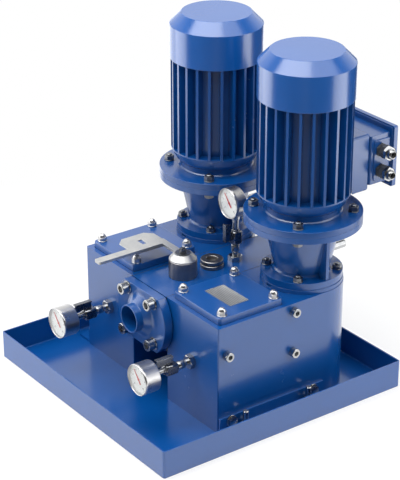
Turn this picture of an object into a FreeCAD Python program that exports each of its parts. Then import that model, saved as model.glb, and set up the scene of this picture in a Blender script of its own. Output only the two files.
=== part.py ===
import FreeCAD, Part
import math
import os

# Twin screw pump station: two motor pumps on one drip tray, joined by a block with a change-over valve.
# Millimetres. Origin at the middle of the tray's underside, +Z up, -Y the suction side, +X the right pump.

os.makedirs("parts", exist_ok=True)

V = FreeCAD.Vector
X = V(1, 0, 0)
Y = V(0, 1, 0)
Z = V(0, 0, 1)
SIDES = {"left": -1, "right": 1}

# Clearances
snug = 0.15
bearing_play = 0.05
apart = 0.4

# Drip tray, as wide as the pumps with their rails and a gap to its walls
tray_gap = 23.0
tray_apron = 179.5
tray_height = 60.0
tray_wall = 3.0
tray_corner = 5.0
tray_bend = 3.0

# Pump housings
housing_width = 174.0
housing_height = 236.0
housing_edge = 2.0
pump_pitch = 296.0
pump_setback = 280.0
pad_length = 255.0
pad_start = 47.0
pad_relief = 1.0

# Middle block
block_height = 125.0
block_inset = 2.0
block_joint = 1.5
port_drop = 60.0
passage = 25.0
cross_bore = 18.0
outlet_setback = 20.0

# Strainer under each square cover
cover_setback = 90.5
cover_width = 154.0
cover_length = 159.0
cover_thick = 14.0
cover_chamfer = 5.0
cover_rim = 0.8
cover_gasket = 0.5
gasket_inset = 1.0
chamber_radius = 46.0
chamber_depth = 160.0
basket_rim = 50.0
basket_ledge = 6.0
basket_height = 130.0
basket_wall = 1.5
basket_gap = 3.0
cover_bolt_spacing = 129.0
cover_stud = 5.0
cap_nut_flats = 17.0
basket_margin = 12.0
basket_window = 9.0

# Screw set inside each pump
pitch_radius = 12.0
screw_lead = 80.0
screw_length = 120.0
screw_gap = 0.4
bore_gap = 0.3
insert_radius = 50.0
insert_height = 145.0
insert_floor = 14.0
pump_bore_depth = 150.0
drive_pin = 7.0
idler_pin = 4.0
pin_length = 9.0
drive_shaft = 9.0
root_land_angle = 60.0
flank_play_angle = 1.0
drive_tip_ratio = 5 / 3
idler_tip_ratio = 1.0
insert_port = 14.0

# Bearing cover and lantern above each pump
ring_radius = 86.0
ring_thick = 10.0
ring_step = 1.5
ring_slot_width = 15.0
ring_slot_height = 4.0
ring_slot_depth = 6.0
ring_slot_rise = 2.5
lantern_base_radius = 85.0
lantern_base_thick = 13.5
lantern_foot = 58.0
lantern_mouth = 80.0
lantern_wall = 8.0
lantern_height = 119.0
lantern_fillet = 6.0
rib_thick = 8.0
rib_root = 4.0
rib_reach = 82.0
lantern_stud = 5.0
lantern_pcd = 146.0
stub_rise = 45.0
stub_root = 11.0
stub_radius = 9.5
stub_bore = 7.5
stub_free = 38.0
stub_reach = 111.5

# Coupling in the lantern
coupling_radius = 30.0
coupling_hub = 27.0
coupling_jaw = 14.0
coupling_rise = 26.0
jaw_count = 3
jaw_angle = 50.0

# Motors
motor_flange_radius = 122.0
motor_flange_pcd = 204.0
lantern_top_thick = 12.5
shield_thick = 13.0
shield_neck = 78.0
shield_wall = 8.0
neck_height = 13.0
neck_foot = 3.0
bowl_lip = 1.5
hub_radius = 30.0
spigot_radius = 71.5
spigot_depth = 4.0
spigot_relief = 1.5
frame_start = 55.0
frame_length = 204.5
frame_radius = 73.0
stator_radius = 56.0
fin_count = 23
fin_start = 1.5
fin_thick = 5.5
fin_radius = 96.5
frame_foot = 1.5
frame_plate = 8.0
fin_root = 2.0
cowl_wall = 2.0
cowl_lap = 4.5
cowl_skirt = 73.5
cowl_slope = 24.5
cowl_top_radius = 74.0
motor_shaft = 14.0
fan_shaft = 11.0
rotor_gap = 0.6
rotor_length = 130.0
rotor_start = 30.0
fan_radius = 84.0
fan_hub = 21.0
fan_rise = 18.0
fan_height = 36.0
fan_blades = 7
fan_thick = 2.5
motor_bolt = 6.0

# Terminal boxes behind the motors
pedestal_width = 126.0
pedestal_height = 124.0
pedestal_drop = 12.0
pedestal_reach = 118.5
pedestal_edge = 6.0
shield_gap = 1.0
box_width = 127.0
box_height = 106.0
box_depth = 52.0
box_rise = 11.0
box_wall = 5.0
box_edge = 5.0
lid_width = 146.5
lid_height = 132.0
lid_thick = 12.0
lid_joint = 2.0
lid_edge = 4.0
gland_spacing = 45.0
gland_back = 27.5
gland_bore = 6.5
gland_thread = 10.0
gland_radius = 12.5
gland_flats = 27.0
gland_hex = 6.0
gland_waist = 1.5
gland_body = 11.5
gland_nut = 9.0
gland_mouth = 9.0
gland_taper = 2.5
gland_pad = 3.0
gland_pad_height = 90.0
gland_pad_lift = 5.5
gland_pad_start = 9.0
gland_pad_edge = 10.0

# Pipe flanges on the middle block
flange_radius = 85.0
flange_thick = 20.0
flange_gasket = 2.0
flange_gasket_radius = 56.0
flange_gasket_bore = 30.0
flange_pcd = 130.0
flange_lower_cut = 65.0
flange_hole = 9.0
neck_base = 43.0
neck_fillet = 8.0
pipe_radius = 30.15
port_bore = 27.15
pipe_end = 50.0
pipe_land = 16.0
flange_screw = 8.0

# Change-over valve
valve_setback = 85.0
plug_radius = 28.0
plug_height = 92.0
plug_roof = 18.0
retainer_play = 2.0
spindle_radius = 12.0
bonnet_radius = 29.5
bonnet_height = 38.5
bonnet_chamfer = 1.0
lever_rise = 45.0
lever_thick = 6.0
lever_cap_radius = 29.0
lever_cap_top = 19.0
lever_cap_height = 12.5
lever_cap_edge = 1.5
lever_arm = 73.0
lever_arm_width = 16.0
bar_width = 20.0
bar_front = 163.5
bar_back = 8.5
bar_edge = 4.0
plate_thick = 2.0
plate_width = 77.0
plate_length = 88.0
plate_offset = 13.5
plate_chamfer = 16.0
slot_length = 26.0
slot_width = 10.0
clamp_radius = 16.0
clamp_thick = 1.5
spindle_flats = 13.0
spindle_nut = 6.5
spindle_nut_rise = 2.0
spindle_thread = 4.0

# Gauges
gauge_drop = 107.5
gauge_passage = 3.0
gauge_radius = 33.0
gauge_depth = 38.0
gauge_wall = 1.5
gauge_dial_inset = 5.0
gauge_reach = 134.5
rear_gauge_side = 6.0
rear_gauge_setback = 216.0
rear_gauge_rise = 135.0
rear_gauge_depth = 28.0
rear_gauge_back = 6.5
pointer_rest = 130.0
pointer_length = 24.0
pointer_tail = 11.0
pointer_thick = 0.8
pointer_width = 1.5
pointer_hub = 2.8
pointer_seat = 4.0
pointer_pin = 1.2
lens_thick = 1.5
fitting_nut = 27.0
fitting_nut_height = 12.0
fitting_neck = 6.5
fitting_bite = 14.0
union_start = 20.0
union_flats = 18.0
valve_start = 39.0
valve_length = 30.0
valve_width = 22.0
valve_bevel = 3.0
socket_flats = 15.0
socket_length = 8.0
valve_stem = 4.0
stem_ratio = 0.6
handle_back = 8.0
handle_reach = 32.0
handle_height = 17.0
handle_thick = 5.0
handle_lift = 1.0
handle_slant = 4.0
handle_crown = 3.0

# Threaded plugs
plug_flats = 10.0
plug_socket = 8.0
side_plug_radius = 10.0
side_plug_head = 13.0
side_plug_thread = 7.0
side_plug_bite = 16.0
side_plug_back = 188.5
side_plug_front = 20.5
side_plug_drops = (17.0, 109.0, 63.0)
overflow_radius = 25.0
overflow_height = 18.0
overflow_step = 2.0
overflow_recess = 12.0
overflow_thread = 18.0
overflow_bite = 24.0
overflow_setback = 159.5

# Rails that bolt the housings to the tray
rail_leg = 33.5
rail_foot = 42.0
rail_washer = 12.0
rail_washer_thick = 2.5
rail_bolt_flats = 18.0
rail_bolt_head = 7.5
rail_nut = 10.0
rail_thick = 5.0
rail_front = 2.0
rail_length = 269.0
rail_bolt = 6.0
rail_bolt_rise = 23.5
rail_bolt_places = (30.0, 241.5)
stud_out = 17.0
stud_height = 42.0
stud_places = (57.5, 220.5)

# Nameplate on the right strainer cover
nameplate_width = 84.0
nameplate_length = 47.0
nameplate_thick = 1.0
nameplate_offset = 5.5
nameplate_side = 2.0

# Fasteners: parts of a nut or head as shares of its size, and how deep threads bite
washer_ratio = 0.6
washer_thick = 2.0
cap_body_ratio = 0.45
cap_dome_ratio = 0.46
socket_head_ratio = 1.5
socket_ratio = 1.75
head_washer_ratio = 1.15
head_washer = 3.0
stud_bite = 20.0
stud_depth = 25.0
rail_bite = 16.0
rail_depth = 18.0
screw_bite = 26.0
screw_depth = 30.0
stud_play = 0.5
bolt_play = 1.0
nut_height = 10.0
small_nut_height = 8.0
small_flats = 17.0
bolt_flats = 18.0
bolt_head = 12.0
stud_rise = 3.0

# Places worked out from the sizes
floor = tray_wall
tray_side = pump_pitch + housing_width + 2 * (rail_foot + tray_gap + tray_wall)
housing_front = tray_apron - tray_side / 2
deck = floor + housing_height
pump_y = housing_front + pump_setback
cover_y = housing_front + cover_setback
valve_y = housing_front + valve_setback
outlet_y = pump_y - outlet_setback
block_half = (pump_pitch - housing_width) / 2
block_back = pump_y + housing_width / 2 - block_inset
port_z = deck - port_drop
cover_z = deck + cover_gasket
cover_top = cover_z + cover_thick
ring_top = deck + ring_thick
lantern_deck = ring_top + lantern_base_thick
lantern_top = ring_top + lantern_height
shield_z = lantern_top + lantern_top_thick
frame_z = shield_z + frame_start
frame_top = frame_z + frame_length
cowl_radius = fin_radius + cowl_wall
cowl_z = frame_top - cowl_lap
insert_z = deck - pump_bore_depth
screw_z = insert_z + insert_floor + apart
pedestal_z = frame_z - pedestal_drop
box_z = pedestal_z + box_rise
box_y = pump_y + pedestal_reach
lid_z = box_z + (box_height - lid_height) / 2
gland_z = box_z + gland_pad_lift + gland_pad_height / 2
cap_z = deck + bonnet_height + apart
cap_top = cap_z + lever_cap_height
lever_z = deck + lever_rise
gauge_z = deck - gauge_drop
stem_setback = valve_start + valve_length * stem_ratio


def pump_x(side):
    return side * pump_pitch / 2


def cylinder(radius, length, at, direction=Z):
    return Part.makeCylinder(radius, length, at, direction)


def tube(outer, inner, length, at, direction=Z):
    return cylinder(outer, length, at, direction).cut(cylinder(inner, length, at, direction))


def block(x0, x1, y0, y1, z0, z1):
    corner = V(min(x0, x1), min(y0, y1), min(z0, z1))
    return Part.makeBox(abs(x1 - x0), abs(y1 - y0), abs(z1 - z0), corner)


def turned(shape, at, direction=Z, spin=0.0):
    """Place a shape made along +Z at the origin so that it starts at a point and runs along a direction."""
    placed = shape.copy()
    spinning = FreeCAD.Rotation(Z, spin)
    placed.Placement = FreeCAD.Placement(at, FreeCAD.Rotation(Z, direction).multiply(spinning))
    return placed


def prism(points, height):
    """Extrude a closed outline of (x, y) points along +Z."""
    corners = [V(x, y, 0) for x, y in points]
    return Part.Face(Part.makePolygon(corners + corners[:1])).extrude(V(0, 0, height))


def hexagon(flats, length, at, direction=Z, spin=0.0):
    corner = flats / math.sqrt(3)
    points = []
    for step in range(6):
        angle = math.radians(60 * step)
        points.append((corner * math.cos(angle), corner * math.sin(angle)))
    return turned(prism(points, length), at, direction, spin)


def lathe(points, at=V(0, 0, 0), direction=Z):
    """Turn a closed outline of (radius, height) points about its axis."""
    corners = [V(radius, 0, height) for radius, height in points]
    face = Part.Face(Part.makePolygon(corners + corners[:1]))
    return turned(face.revolve(V(0, 0, 0), Z, 360), at, direction)


def around(centre, radius, count, start):
    places = []
    for step in range(count):
        angle = math.radians(start + 360 / count * step)
        places.append(centre + V(radius * math.cos(angle), radius * math.sin(angle), 0))
    return places


def sector(outer, inner, height, start, sweep):
    wedge = Part.makeCylinder(outer, height, V(0, 0, 0), Z, sweep)
    wedge = wedge.cut(cylinder(inner, height, V(0, 0, 0)))
    wedge.rotate(V(0, 0, 0), Z, start)
    return wedge


def fused(shapes):
    return shapes[0].multiFuse(shapes[1:]).removeSplitter()


def without(shape, cutters):
    for cutter in cutters:
        shape = shape.cut(cutter)
    return shape


def edges_at(shape, test):
    """Straight or round edges whose both ends meet a test on their points."""
    found = []
    for edge in shape.Edges:
        if all(test(vertex.Point) for vertex in edge.Vertexes):
            found.append(edge)
    return found


def near(first, second):
    return abs(first - second) < 0.01


def rounded_block(x0, x1, y0, y1, z0, z1, radius):
    """Block with its four upright edges rounded."""
    solid = block(x0, x1, y0, y1, z0, z1)
    upright = [e for e in solid.Edges if near(e.BoundBox.XLength, 0) and near(e.BoundBox.YLength, 0)]
    return solid.makeFillet(radius, upright)


def save(name, *solids):
    shape = solids[0] if len(solids) == 1 else Part.makeCompound(list(solids))
    shape.exportStep("parts/" + name + ".step")


def cap_nut(flats, at, direction=Z):
    """Domed nut on its washer, with the stud end inside it."""
    washer = cylinder(flats * washer_ratio, washer_thick, V(0, 0, 0))
    body = hexagon(flats, flats * cap_body_ratio, V(0, 0, washer_thick))
    dome_z = washer_thick + flats * cap_body_ratio
    dome = Part.makeSphere(flats * cap_dome_ratio, V(0, 0, dome_z), Z, 0, 90, 360)
    return turned(fused([washer, body, dome]), at, direction)


def hex_nut(flats, height, stud, rise, at, direction=Z):
    """Plain nut on a washer with a stud end standing out of it."""
    washer = cylinder(flats * washer_ratio, washer_thick, V(0, 0, 0))
    body = hexagon(flats, height, V(0, 0, washer_thick))
    end = cylinder(stud, height + washer_thick + rise, V(0, 0, 0))
    return turned(fused([washer, body, end]), at, direction)


def socket_screw(shank, grip, bite, at, direction):
    """Socket head screw on a washer; the shank runs back through the grip and bites into the seat."""
    head_radius = shank * socket_head_ratio
    head = cylinder(head_radius, shank * 2, V(0, 0, head_washer))
    socket = hexagon(shank * socket_ratio, shank, V(0, 0, head_washer + shank))
    washer = cylinder(head_radius * head_washer_ratio, head_washer, V(0, 0, 0))
    rod = cylinder(shank - snug, grip + bite, V(0, 0, -grip - bite))
    return turned(fused([rod, washer, head]).cut(socket), at, direction)


def make_tray():
    half = tray_side / 2
    outer = rounded_block(-half, half, -half, half, 0, tray_height, tray_corner)
    inside = half - tray_wall
    inner = rounded_block(-inside, inside, -inside, inside, floor, tray_height, tray_corner - tray_wall)
    inner = inner.makeFillet(tray_bend, edges_at(inner, lambda p: near(p.z, floor)))
    save("drip_tray", outer.cut(inner))


def rail_face(side):
    return pump_x(side) + side * housing_width / 2


def make_rails():
    rails = []
    fasteners = []
    start = housing_front + rail_front
    for side in SIDES.values():
        face = rail_face(side)
        leg = block(face, face + side * rail_thick, start, start + rail_length, floor, floor + rail_leg)
        foot = block(face, face + side * rail_foot, start, start + rail_length, floor, floor + rail_thick)
        rail = fused([leg, foot])
        for place in rail_bolt_places:
            at = V(face + side * rail_thick, housing_front + place, floor + rail_bolt_rise)
            rail = rail.cut(cylinder(rail_bolt + snug, rail_thick, at, X * -side))
            washer = cylinder(rail_washer, rail_washer_thick, at, X * side)
            head = hexagon(rail_bolt_flats, rail_bolt_head, at + X * side * rail_washer_thick, X * side)
            shank = cylinder(rail_bolt, rail_thick + rail_bite, at, X * -side)
            fasteners.append(fused([washer, head, shank]))
        for place in stud_places:
            at = V(face + side * stud_out, housing_front + place, floor)
            rail = rail.cut(cylinder(rail_bolt + snug, rail_thick, at))
            nut_at = at + Z * rail_thick
            post = cylinder(rail_bolt, stud_height, at)
            washer = cylinder(rail_washer, rail_washer_thick, nut_at)
            nut = hexagon(rail_bolt_flats, rail_nut, nut_at + Z * rail_washer_thick)
            fasteners.append(fused([post, washer, nut]))
        rails.append(rail)
    save("mounting_rails", *rails)
    save("rail_fasteners", *fasteners)


def side_plug_places(side):
    """Mouths of the three plug holes on the outer face of a housing."""
    face = rail_face(side) + side * pad_relief
    backs = (side_plug_back, side_plug_back, side_plug_front)
    return [V(face, housing_front + back, deck - drop) for back, drop in zip(backs, side_plug_drops)]


def cover_stud_places(side):
    half = cover_bolt_spacing / 2
    places = []
    for across in (-half, half):
        for back in (-half, half):
            places.append(V(pump_x(side) + across, cover_y + back, deck))
    return places


def housing_cuts(side):
    centre = V(pump_x(side), pump_y, deck)
    chamber = V(pump_x(side), cover_y, deck)
    inner = V(side * block_half, 0, port_z)
    cuts = [
        cylinder(chamber_radius, chamber_depth, chamber, Z * -1),
        cylinder(basket_rim + snug, basket_ledge, chamber, Z * -1),
        cylinder(insert_radius + snug, pump_bore_depth, centre, Z * -1),
        cylinder(cross_bore, cover_setback, inner + Y * cover_y, X * side),
        cylinder(cross_bore, housing_width / 2, inner + Y * outlet_y, X * side),
        cylinder(cross_bore, pump_y - cover_y, chamber - Z * (chamber_depth - cross_bore), Y),
    ]
    for place in cover_stud_places(side):
        cuts.append(cylinder(cover_stud + snug, stud_depth, place, Z * -1))
    for place in around(centre, lantern_pcd / 2, 4, 45):
        cuts.append(cylinder(lantern_stud + snug, stud_depth, place, Z * -1))
    for place in side_plug_places(side):
        cuts.append(cylinder(side_plug_thread + snug, side_plug_bite + 2.0, place, X * -side))
    for back in rail_bolt_places:
        at = V(rail_face(side), housing_front + back, floor + rail_bolt_rise)
        cuts.append(cylinder(rail_bolt + snug, rail_depth, at, X * -side))
    port = V(pump_x(side), housing_front, gauge_z)
    cuts.append(cylinder(fitting_neck + snug, fitting_bite + apart, port, Y))
    cuts.append(cylinder(gauge_passage, cover_setback, port, Y))
    return cuts


def make_housing(name, side):
    x = pump_x(side)
    half = housing_width / 2
    front = block(x - half, x + half, housing_front, pump_y, floor, deck)
    corners = edges_at(front, lambda p: near(p.y, housing_front))
    upright = [edge for edge in corners if near(edge.BoundBox.XLength, 0)]
    front = front.makeFillet(housing_edge, upright)
    barrel = cylinder(half, housing_height, V(x, pump_y, floor))
    face = rail_face(side)
    pad = block(face - side, face + side * pad_relief, housing_front + housing_edge,
                housing_front + pad_length, floor + pad_start, deck)
    save("housing_" + name, without(fused([front, barrel, pad]), housing_cuts(side)))


def flange_screw_places(y):
    reach = flange_pcd / 2 / math.sqrt(2)
    return [V(across, y, port_z + up) for across in (-reach, reach) for up in (-reach, reach)]


def rear_gauge_foot():
    return V(rear_gauge_side, housing_front + rear_gauge_setback, deck)


def block_joint_sheets():
    """Sealing sheets between the middle block and each housing, open at the cross bores."""
    sheets = []
    for side in SIDES.values():
        sheet = block(side * (block_half - block_joint), side * block_half, housing_front, block_back,
                      deck - block_height, deck)
        for y in (cover_y, outlet_y):
            sheet = sheet.cut(cylinder(cross_bore, block_half, V(0, y, port_z), X * side))
        sheets.append(sheet)
    return sheets


def make_middle_block():
    half = block_half - block_joint
    body = block(-half, half, housing_front, block_back, deck - block_height, deck)
    valve = V(0, valve_y, deck)
    cuts = [
        cylinder(passage, valve_setback, V(0, housing_front, port_z), Y),
        cylinder(plug_radius + bearing_play, plug_roof + plug_height + apart, valve, Z * -1),
        cylinder(cross_bore, 2 * block_half, V(-block_half, cover_y, port_z), X),
        cylinder(cross_bore, 2 * block_half, V(-block_half, outlet_y, port_z), X),
        cylinder(passage, block_back - outlet_y, V(0, outlet_y, port_z), Y),
        cylinder(overflow_thread, overflow_bite + 2.0, V(0, housing_front + overflow_setback, deck), Z * -1),
        cylinder(fitting_neck + snug, fitting_bite + apart, rear_gauge_foot(), Z * -1),
    ]
    for place in flange_screw_places(housing_front):
        cuts.append(cylinder(flange_screw, screw_depth, place, Y))
    for place in flange_screw_places(block_back):
        cuts.append(cylinder(flange_screw, screw_depth, place, Y * -1))
    save("middle_block", without(body, cuts))


def pipe_flange(y, way):
    """Weld-neck flange, its disc cut flat above and below, facing along way from its gasket at y."""
    at = V(0, y + way * flange_gasket, port_z)
    direction = Y * way
    disc = cylinder(flange_radius, flange_thick, at, direction)
    keep = block(-flange_radius, flange_radius, y, y + way * (pipe_end + flange_gasket),
                 port_z - flange_lower_cut, deck)
    disc = disc.common(keep)
    neck = lathe([(0, 0), (neck_base + neck_fillet, 0), (neck_base + neck_fillet, flange_thick),
                  (neck_base + 2.0, flange_thick + 1.5), (neck_base - 2.0, flange_thick + 5.0),
                  (pipe_radius, pipe_end - pipe_land), (pipe_radius, pipe_end), (0, pipe_end)], at, direction)
    shape = fused([disc, neck]).cut(cylinder(port_bore, pipe_end, at, direction))
    for place in flange_screw_places(at.y):
        shape = shape.cut(cylinder(flange_hole, flange_thick, place, direction))
    return shape


def make_pipe_flanges():
    screws = []
    gaskets = block_joint_sheets()
    ends = {"suction": (housing_front, -1), "discharge": (block_back, 1)}
    for name, (y, way) in ends.items():
        save(name + "_flange", pipe_flange(y, way))
        seal = tube(flange_gasket_radius, flange_gasket_bore, flange_gasket, V(0, y, port_z), Y * way)
        gaskets.append(seal)
        grip = flange_gasket + flange_thick
        for place in flange_screw_places(y + way * grip):
            screws.append(socket_screw(flange_screw, grip, screw_bite, place, Y * way))
    save("flange_screws", *screws)
    return gaskets


def make_covers(gaskets):
    nuts = []
    baskets = []
    for name, side in SIDES.items():
        x = pump_x(side)
        half_x = cover_width / 2
        half_y = cover_length / 2
        cover = block(x - half_x, x + half_x, cover_y - half_y, cover_y + half_y, cover_z, cover_top)
        upright = [e for e in cover.Edges if near(e.BoundBox.XLength, 0) and near(e.BoundBox.YLength, 0)]
        cover = cover.makeChamfer(cover_chamfer, upright)
        rim = edges_at(cover, lambda p: near(p.z, cover_top))
        cover = cover.makeChamfer(cover_rim, rim)
        inset = gasket_inset
        gasket = block(x - half_x + inset, x + half_x - inset, cover_y - half_y + inset,
                       cover_y + half_y - inset, deck, cover_z)
        gasket = gasket.cut(cylinder(basket_rim, cover_gasket, V(x, cover_y, deck)))
        for place in cover_stud_places(side):
            hole = cylinder(cover_stud + stud_play, cover_gasket + cover_thick, place)
            cover = cover.cut(hole)
            gasket = gasket.cut(hole)
            stud = cylinder(cover_stud, cover_gasket + cover_thick + stud_bite, place - Z * stud_bite)
            nuts.append(fused([stud, cap_nut(cap_nut_flats, V(place.x, place.y, cover_top))]))
        gaskets.append(gasket)
        save("strainer_cover_" + name, cover)
        baskets.append(strainer_basket(V(x, cover_y, deck - basket_ledge)))
    save("cap_nuts", *nuts)
    save("strainer_baskets", *baskets)
    save("gaskets", *gaskets)


def strainer_basket(at):
    """Hanging basket: a rim on the ledge of the chamber and a thin slotted wall below it."""
    wall = chamber_radius - basket_gap
    drop = -basket_height
    outline = [(wall - basket_wall, drop + basket_wall), (wall - basket_wall, basket_wall * 2),
               (basket_rim, basket_wall * 2), (basket_rim, 0), (wall, 0), (wall, drop), (0, drop),
               (0, drop + basket_wall)]
    basket = lathe(outline)
    windows = []
    for step in range(6):
        window = block(wall - 3 * basket_wall, wall + basket_wall, -basket_window, basket_window,
                       drop + basket_margin, -basket_margin)
        window.rotate(V(0, 0, 0), Z, 60 * step)
        windows.append(window)
    return turned(without(basket, windows), at)


def flank_points(edge, reach, flip):
    """Path that a mating screw's edge at a radius cuts into this one, out to reach; pitch radius 1."""
    last = math.acos((4 + edge * edge - reach * reach) / (4 * edge))
    points = []
    for step in range(5):
        angle = last * step / 4
        x = 2 * math.cos(angle) - edge * math.cos(2 * angle)
        y = flip * (2 * math.sin(angle) - edge * math.sin(2 * angle))
        points.append((x, y))
    return points


def polar(radius, degrees):
    angle = math.radians(degrees)
    return V(radius * math.cos(angle), radius * math.sin(angle), 0)


def screw_outline(flank, crest_angle, crest_land, inner, outer):
    """Two-start outline: each tooth is a flank, a round land, the mirrored flank and a round root."""
    flank_polar = [(math.hypot(x, y) * pitch_radius - screw_gap / 2, math.degrees(math.atan2(y, x)))
                   for x, y in flank]
    sweep = flank_polar[-1][1]
    edges = []
    for middle in (crest_angle, crest_angle + 180):
        start = middle - crest_land / 2 - sweep
        end = middle + crest_land / 2 + sweep
        rise = [polar(radius, start + angle) for radius, angle in flank_polar]
        fall = [polar(radius, end - angle) for radius, angle in reversed(flank_polar)]
        edges.append(curve_through(rise))
        edges.append(Part.Arc(rise[-1], polar(outer, middle), fall[0]).toShape())
        edges.append(curve_through(fall))
        next_start = polar(inner, start + 180)
        edges.append(Part.Arc(fall[-1], polar(inner, middle + 90), next_start).toShape())
    return Part.Wire(edges)


def curve_through(points):
    curve = Part.BSplineCurve()
    curve.interpolate(points)
    return curve.toShape()


def twisted(outline, height, hand):
    """Extrude an outline while it turns once per lead; hand is 1 for right and -1 for left."""
    spine = Part.makePolygon([V(0, 0, 0), V(0, 0, height)])
    guide = Part.makeHelix(screw_lead, height, pitch_radius, 0, hand < 0)
    faces = [Part.Face(outline)]
    top = outline.copy()
    top.rotate(V(0, 0, 0), Z, hand * 360 * height / screw_lead)
    top.translate(V(0, 0, height))
    faces.append(Part.Face(top))
    shell = Part.BRepOffsetAPI.MakePipeShell(spine)
    shell.add(outline)
    shell.setAuxiliarySpine(guide, True, 0)
    shell.build()
    faces.extend(shell.shape().Faces)
    return Part.makeSolid(Part.makeShell(faces))


def drive_screw(at):
    """Middle screw, its crest facing the idlers, with a foot pin and the shaft up to the coupling."""
    inner = pitch_radius - screw_gap / 2
    outer = pitch_radius * drive_tip_ratio - screw_gap / 2
    flank = flank_points(idler_tip_ratio, drive_tip_ratio, 1)
    sweep = math.degrees(math.atan2(flank[-1][1], flank[-1][0]))
    crest_land = 180 - root_land_angle - 2 * sweep - 2 * flank_play_angle
    thread = twisted(screw_outline(flank, 90, crest_land, inner, outer), screw_length, 1)
    lower = cylinder(drive_pin, pin_length + apart, V(0, 0, -pin_length))
    upper = cylinder(drive_shaft, ring_top - at.z - screw_length + coupling_rise, V(0, 0, screw_length))
    return turned(fused([thread, lower, upper]), at)


def idler_screw(at):
    """Outer screw of the opposite hand, its crests a quarter turn from the middle screw's."""
    inner = pitch_radius * (2 - drive_tip_ratio) - screw_gap / 2
    outer = pitch_radius - screw_gap / 2
    flank = flank_points(drive_tip_ratio, idler_tip_ratio, -1)
    outline = screw_outline(flank, 0, root_land_angle - 2 * flank_play_angle, inner, outer)
    thread = twisted(outline, screw_length, -1)
    lower = cylinder(idler_pin, pin_length + apart, V(0, 0, -pin_length))
    return turned(fused([thread, lower]), at)


def idler_places(side):
    centre = V(pump_x(side), pump_y, screw_z)
    return {"front": centre - Y * 2 * pitch_radius, "rear": centre + Y * 2 * pitch_radius}


def make_pump_insert(side):
    """Sleeve with the three overlapping bores that the screws run in."""
    at = V(pump_x(side), pump_y, insert_z)
    height = insert_height
    sleeve = cylinder(insert_radius, height, at)
    bore_z = insert_floor
    cuts = [
        cylinder(pitch_radius * drive_tip_ratio + bore_gap, height - bore_z, at + Z * bore_z),
        cylinder(drive_pin + bearing_play, bore_z, at),
        cylinder(insert_port, insert_radius, at + V(0, -outlet_setback, port_z - insert_z), X * -side),
        cylinder(insert_port, insert_radius, at + Z * (bore_z + cross_bore), Y * -1),
    ]
    for place in idler_places(side).values():
        bottom = V(place.x, place.y, insert_z)
        cuts.append(cylinder(pitch_radius + bore_gap, height - bore_z, bottom + Z * bore_z))
        cuts.append(cylinder(idler_pin + bearing_play, bore_z, bottom))
    return without(sleeve, cuts)


def make_pumps():
    save("pump_inserts", *[make_pump_insert(side) for side in SIDES.values()])
    for name, side in SIDES.items():
        save("drive_screw_" + name, drive_screw(V(pump_x(side), pump_y, screw_z)))
        for place, at in idler_places(side).items():
            save("idler_screw_" + name + "_" + place, idler_screw(at))


def make_bearing_covers():
    covers = []
    for side in SIDES.values():
        at = V(pump_x(side), pump_y, deck)
        inner = drive_shaft + bearing_play
        step = ring_step
        outline = [(inner, 0), (ring_radius, 0), (ring_radius, ring_thick - step),
                   (ring_radius - step, ring_thick - step), (ring_radius - step, ring_thick),
                   (inner, ring_thick)]
        front = at.y - ring_radius
        half = ring_slot_width / 2
        bottom = deck + ring_slot_rise
        slot = block(at.x - half, at.x + half, front - step, front + ring_slot_depth, bottom,
                     bottom + ring_slot_height)
        cover = lathe(outline, at).cut(slot)
        for place in around(at, lantern_pcd / 2, 4, 45):
            cover = cover.cut(cylinder(lantern_stud + snug, ring_thick, place))
        covers.append(cover)
    save("bearing_covers", *covers)


def make_lantern(name, side):
    """Open bell between pump and motor, with a rib on each outer and inner side."""
    at = V(pump_x(side), pump_y, ring_top)
    top = lantern_height + lantern_top_thick
    base = lantern_base_thick
    foot = lantern_foot
    fillet = lantern_fillet
    mouth = spigot_radius + snug
    seat = top - spigot_depth - spigot_relief
    outline = [(foot - lantern_wall, 0), (lantern_base_radius, 0), (lantern_base_radius, base),
               (foot + fillet, base), (foot + fillet / 3, base + fillet / 3), (foot, base + fillet),
               (lantern_mouth, lantern_height), (motor_flange_radius, lantern_height),
               (motor_flange_radius, top), (mouth, top), (mouth, seat),
               (lantern_mouth - lantern_wall - spigot_relief, seat)]
    bell = lathe(outline)
    ribs = []
    for turn in (0, 180):
        rib = block(foot - rib_root, rib_reach, -rib_thick / 2, rib_thick / 2, base, lantern_height)
        rib.rotate(V(0, 0, 0), Z, turn)
        ribs.append(rib)
    inside = lathe([(0, 0), (foot - rib_root, 0), (foot - rib_root, base),
                    (lantern_mouth - rib_root, lantern_height), (0, lantern_height)])
    ribs = [rib.cut(inside) for rib in ribs]
    bell = fused([bell] + ribs)
    cuts = [cylinder(stub_root, lantern_mouth, V(0, 0, stub_rise - ring_thick), Y)]
    for place in around(V(0, 0, 0), lantern_pcd / 2, 4, 45):
        cuts.append(cylinder(lantern_stud + stud_play, base, place))
    for place in around(V(0, 0, lantern_height), motor_flange_pcd / 2, 4, 45):
        cuts.append(cylinder(motor_bolt + bolt_play, lantern_top_thick, place))
    save("lantern_" + name, turned(without(bell, cuts), at))


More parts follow.
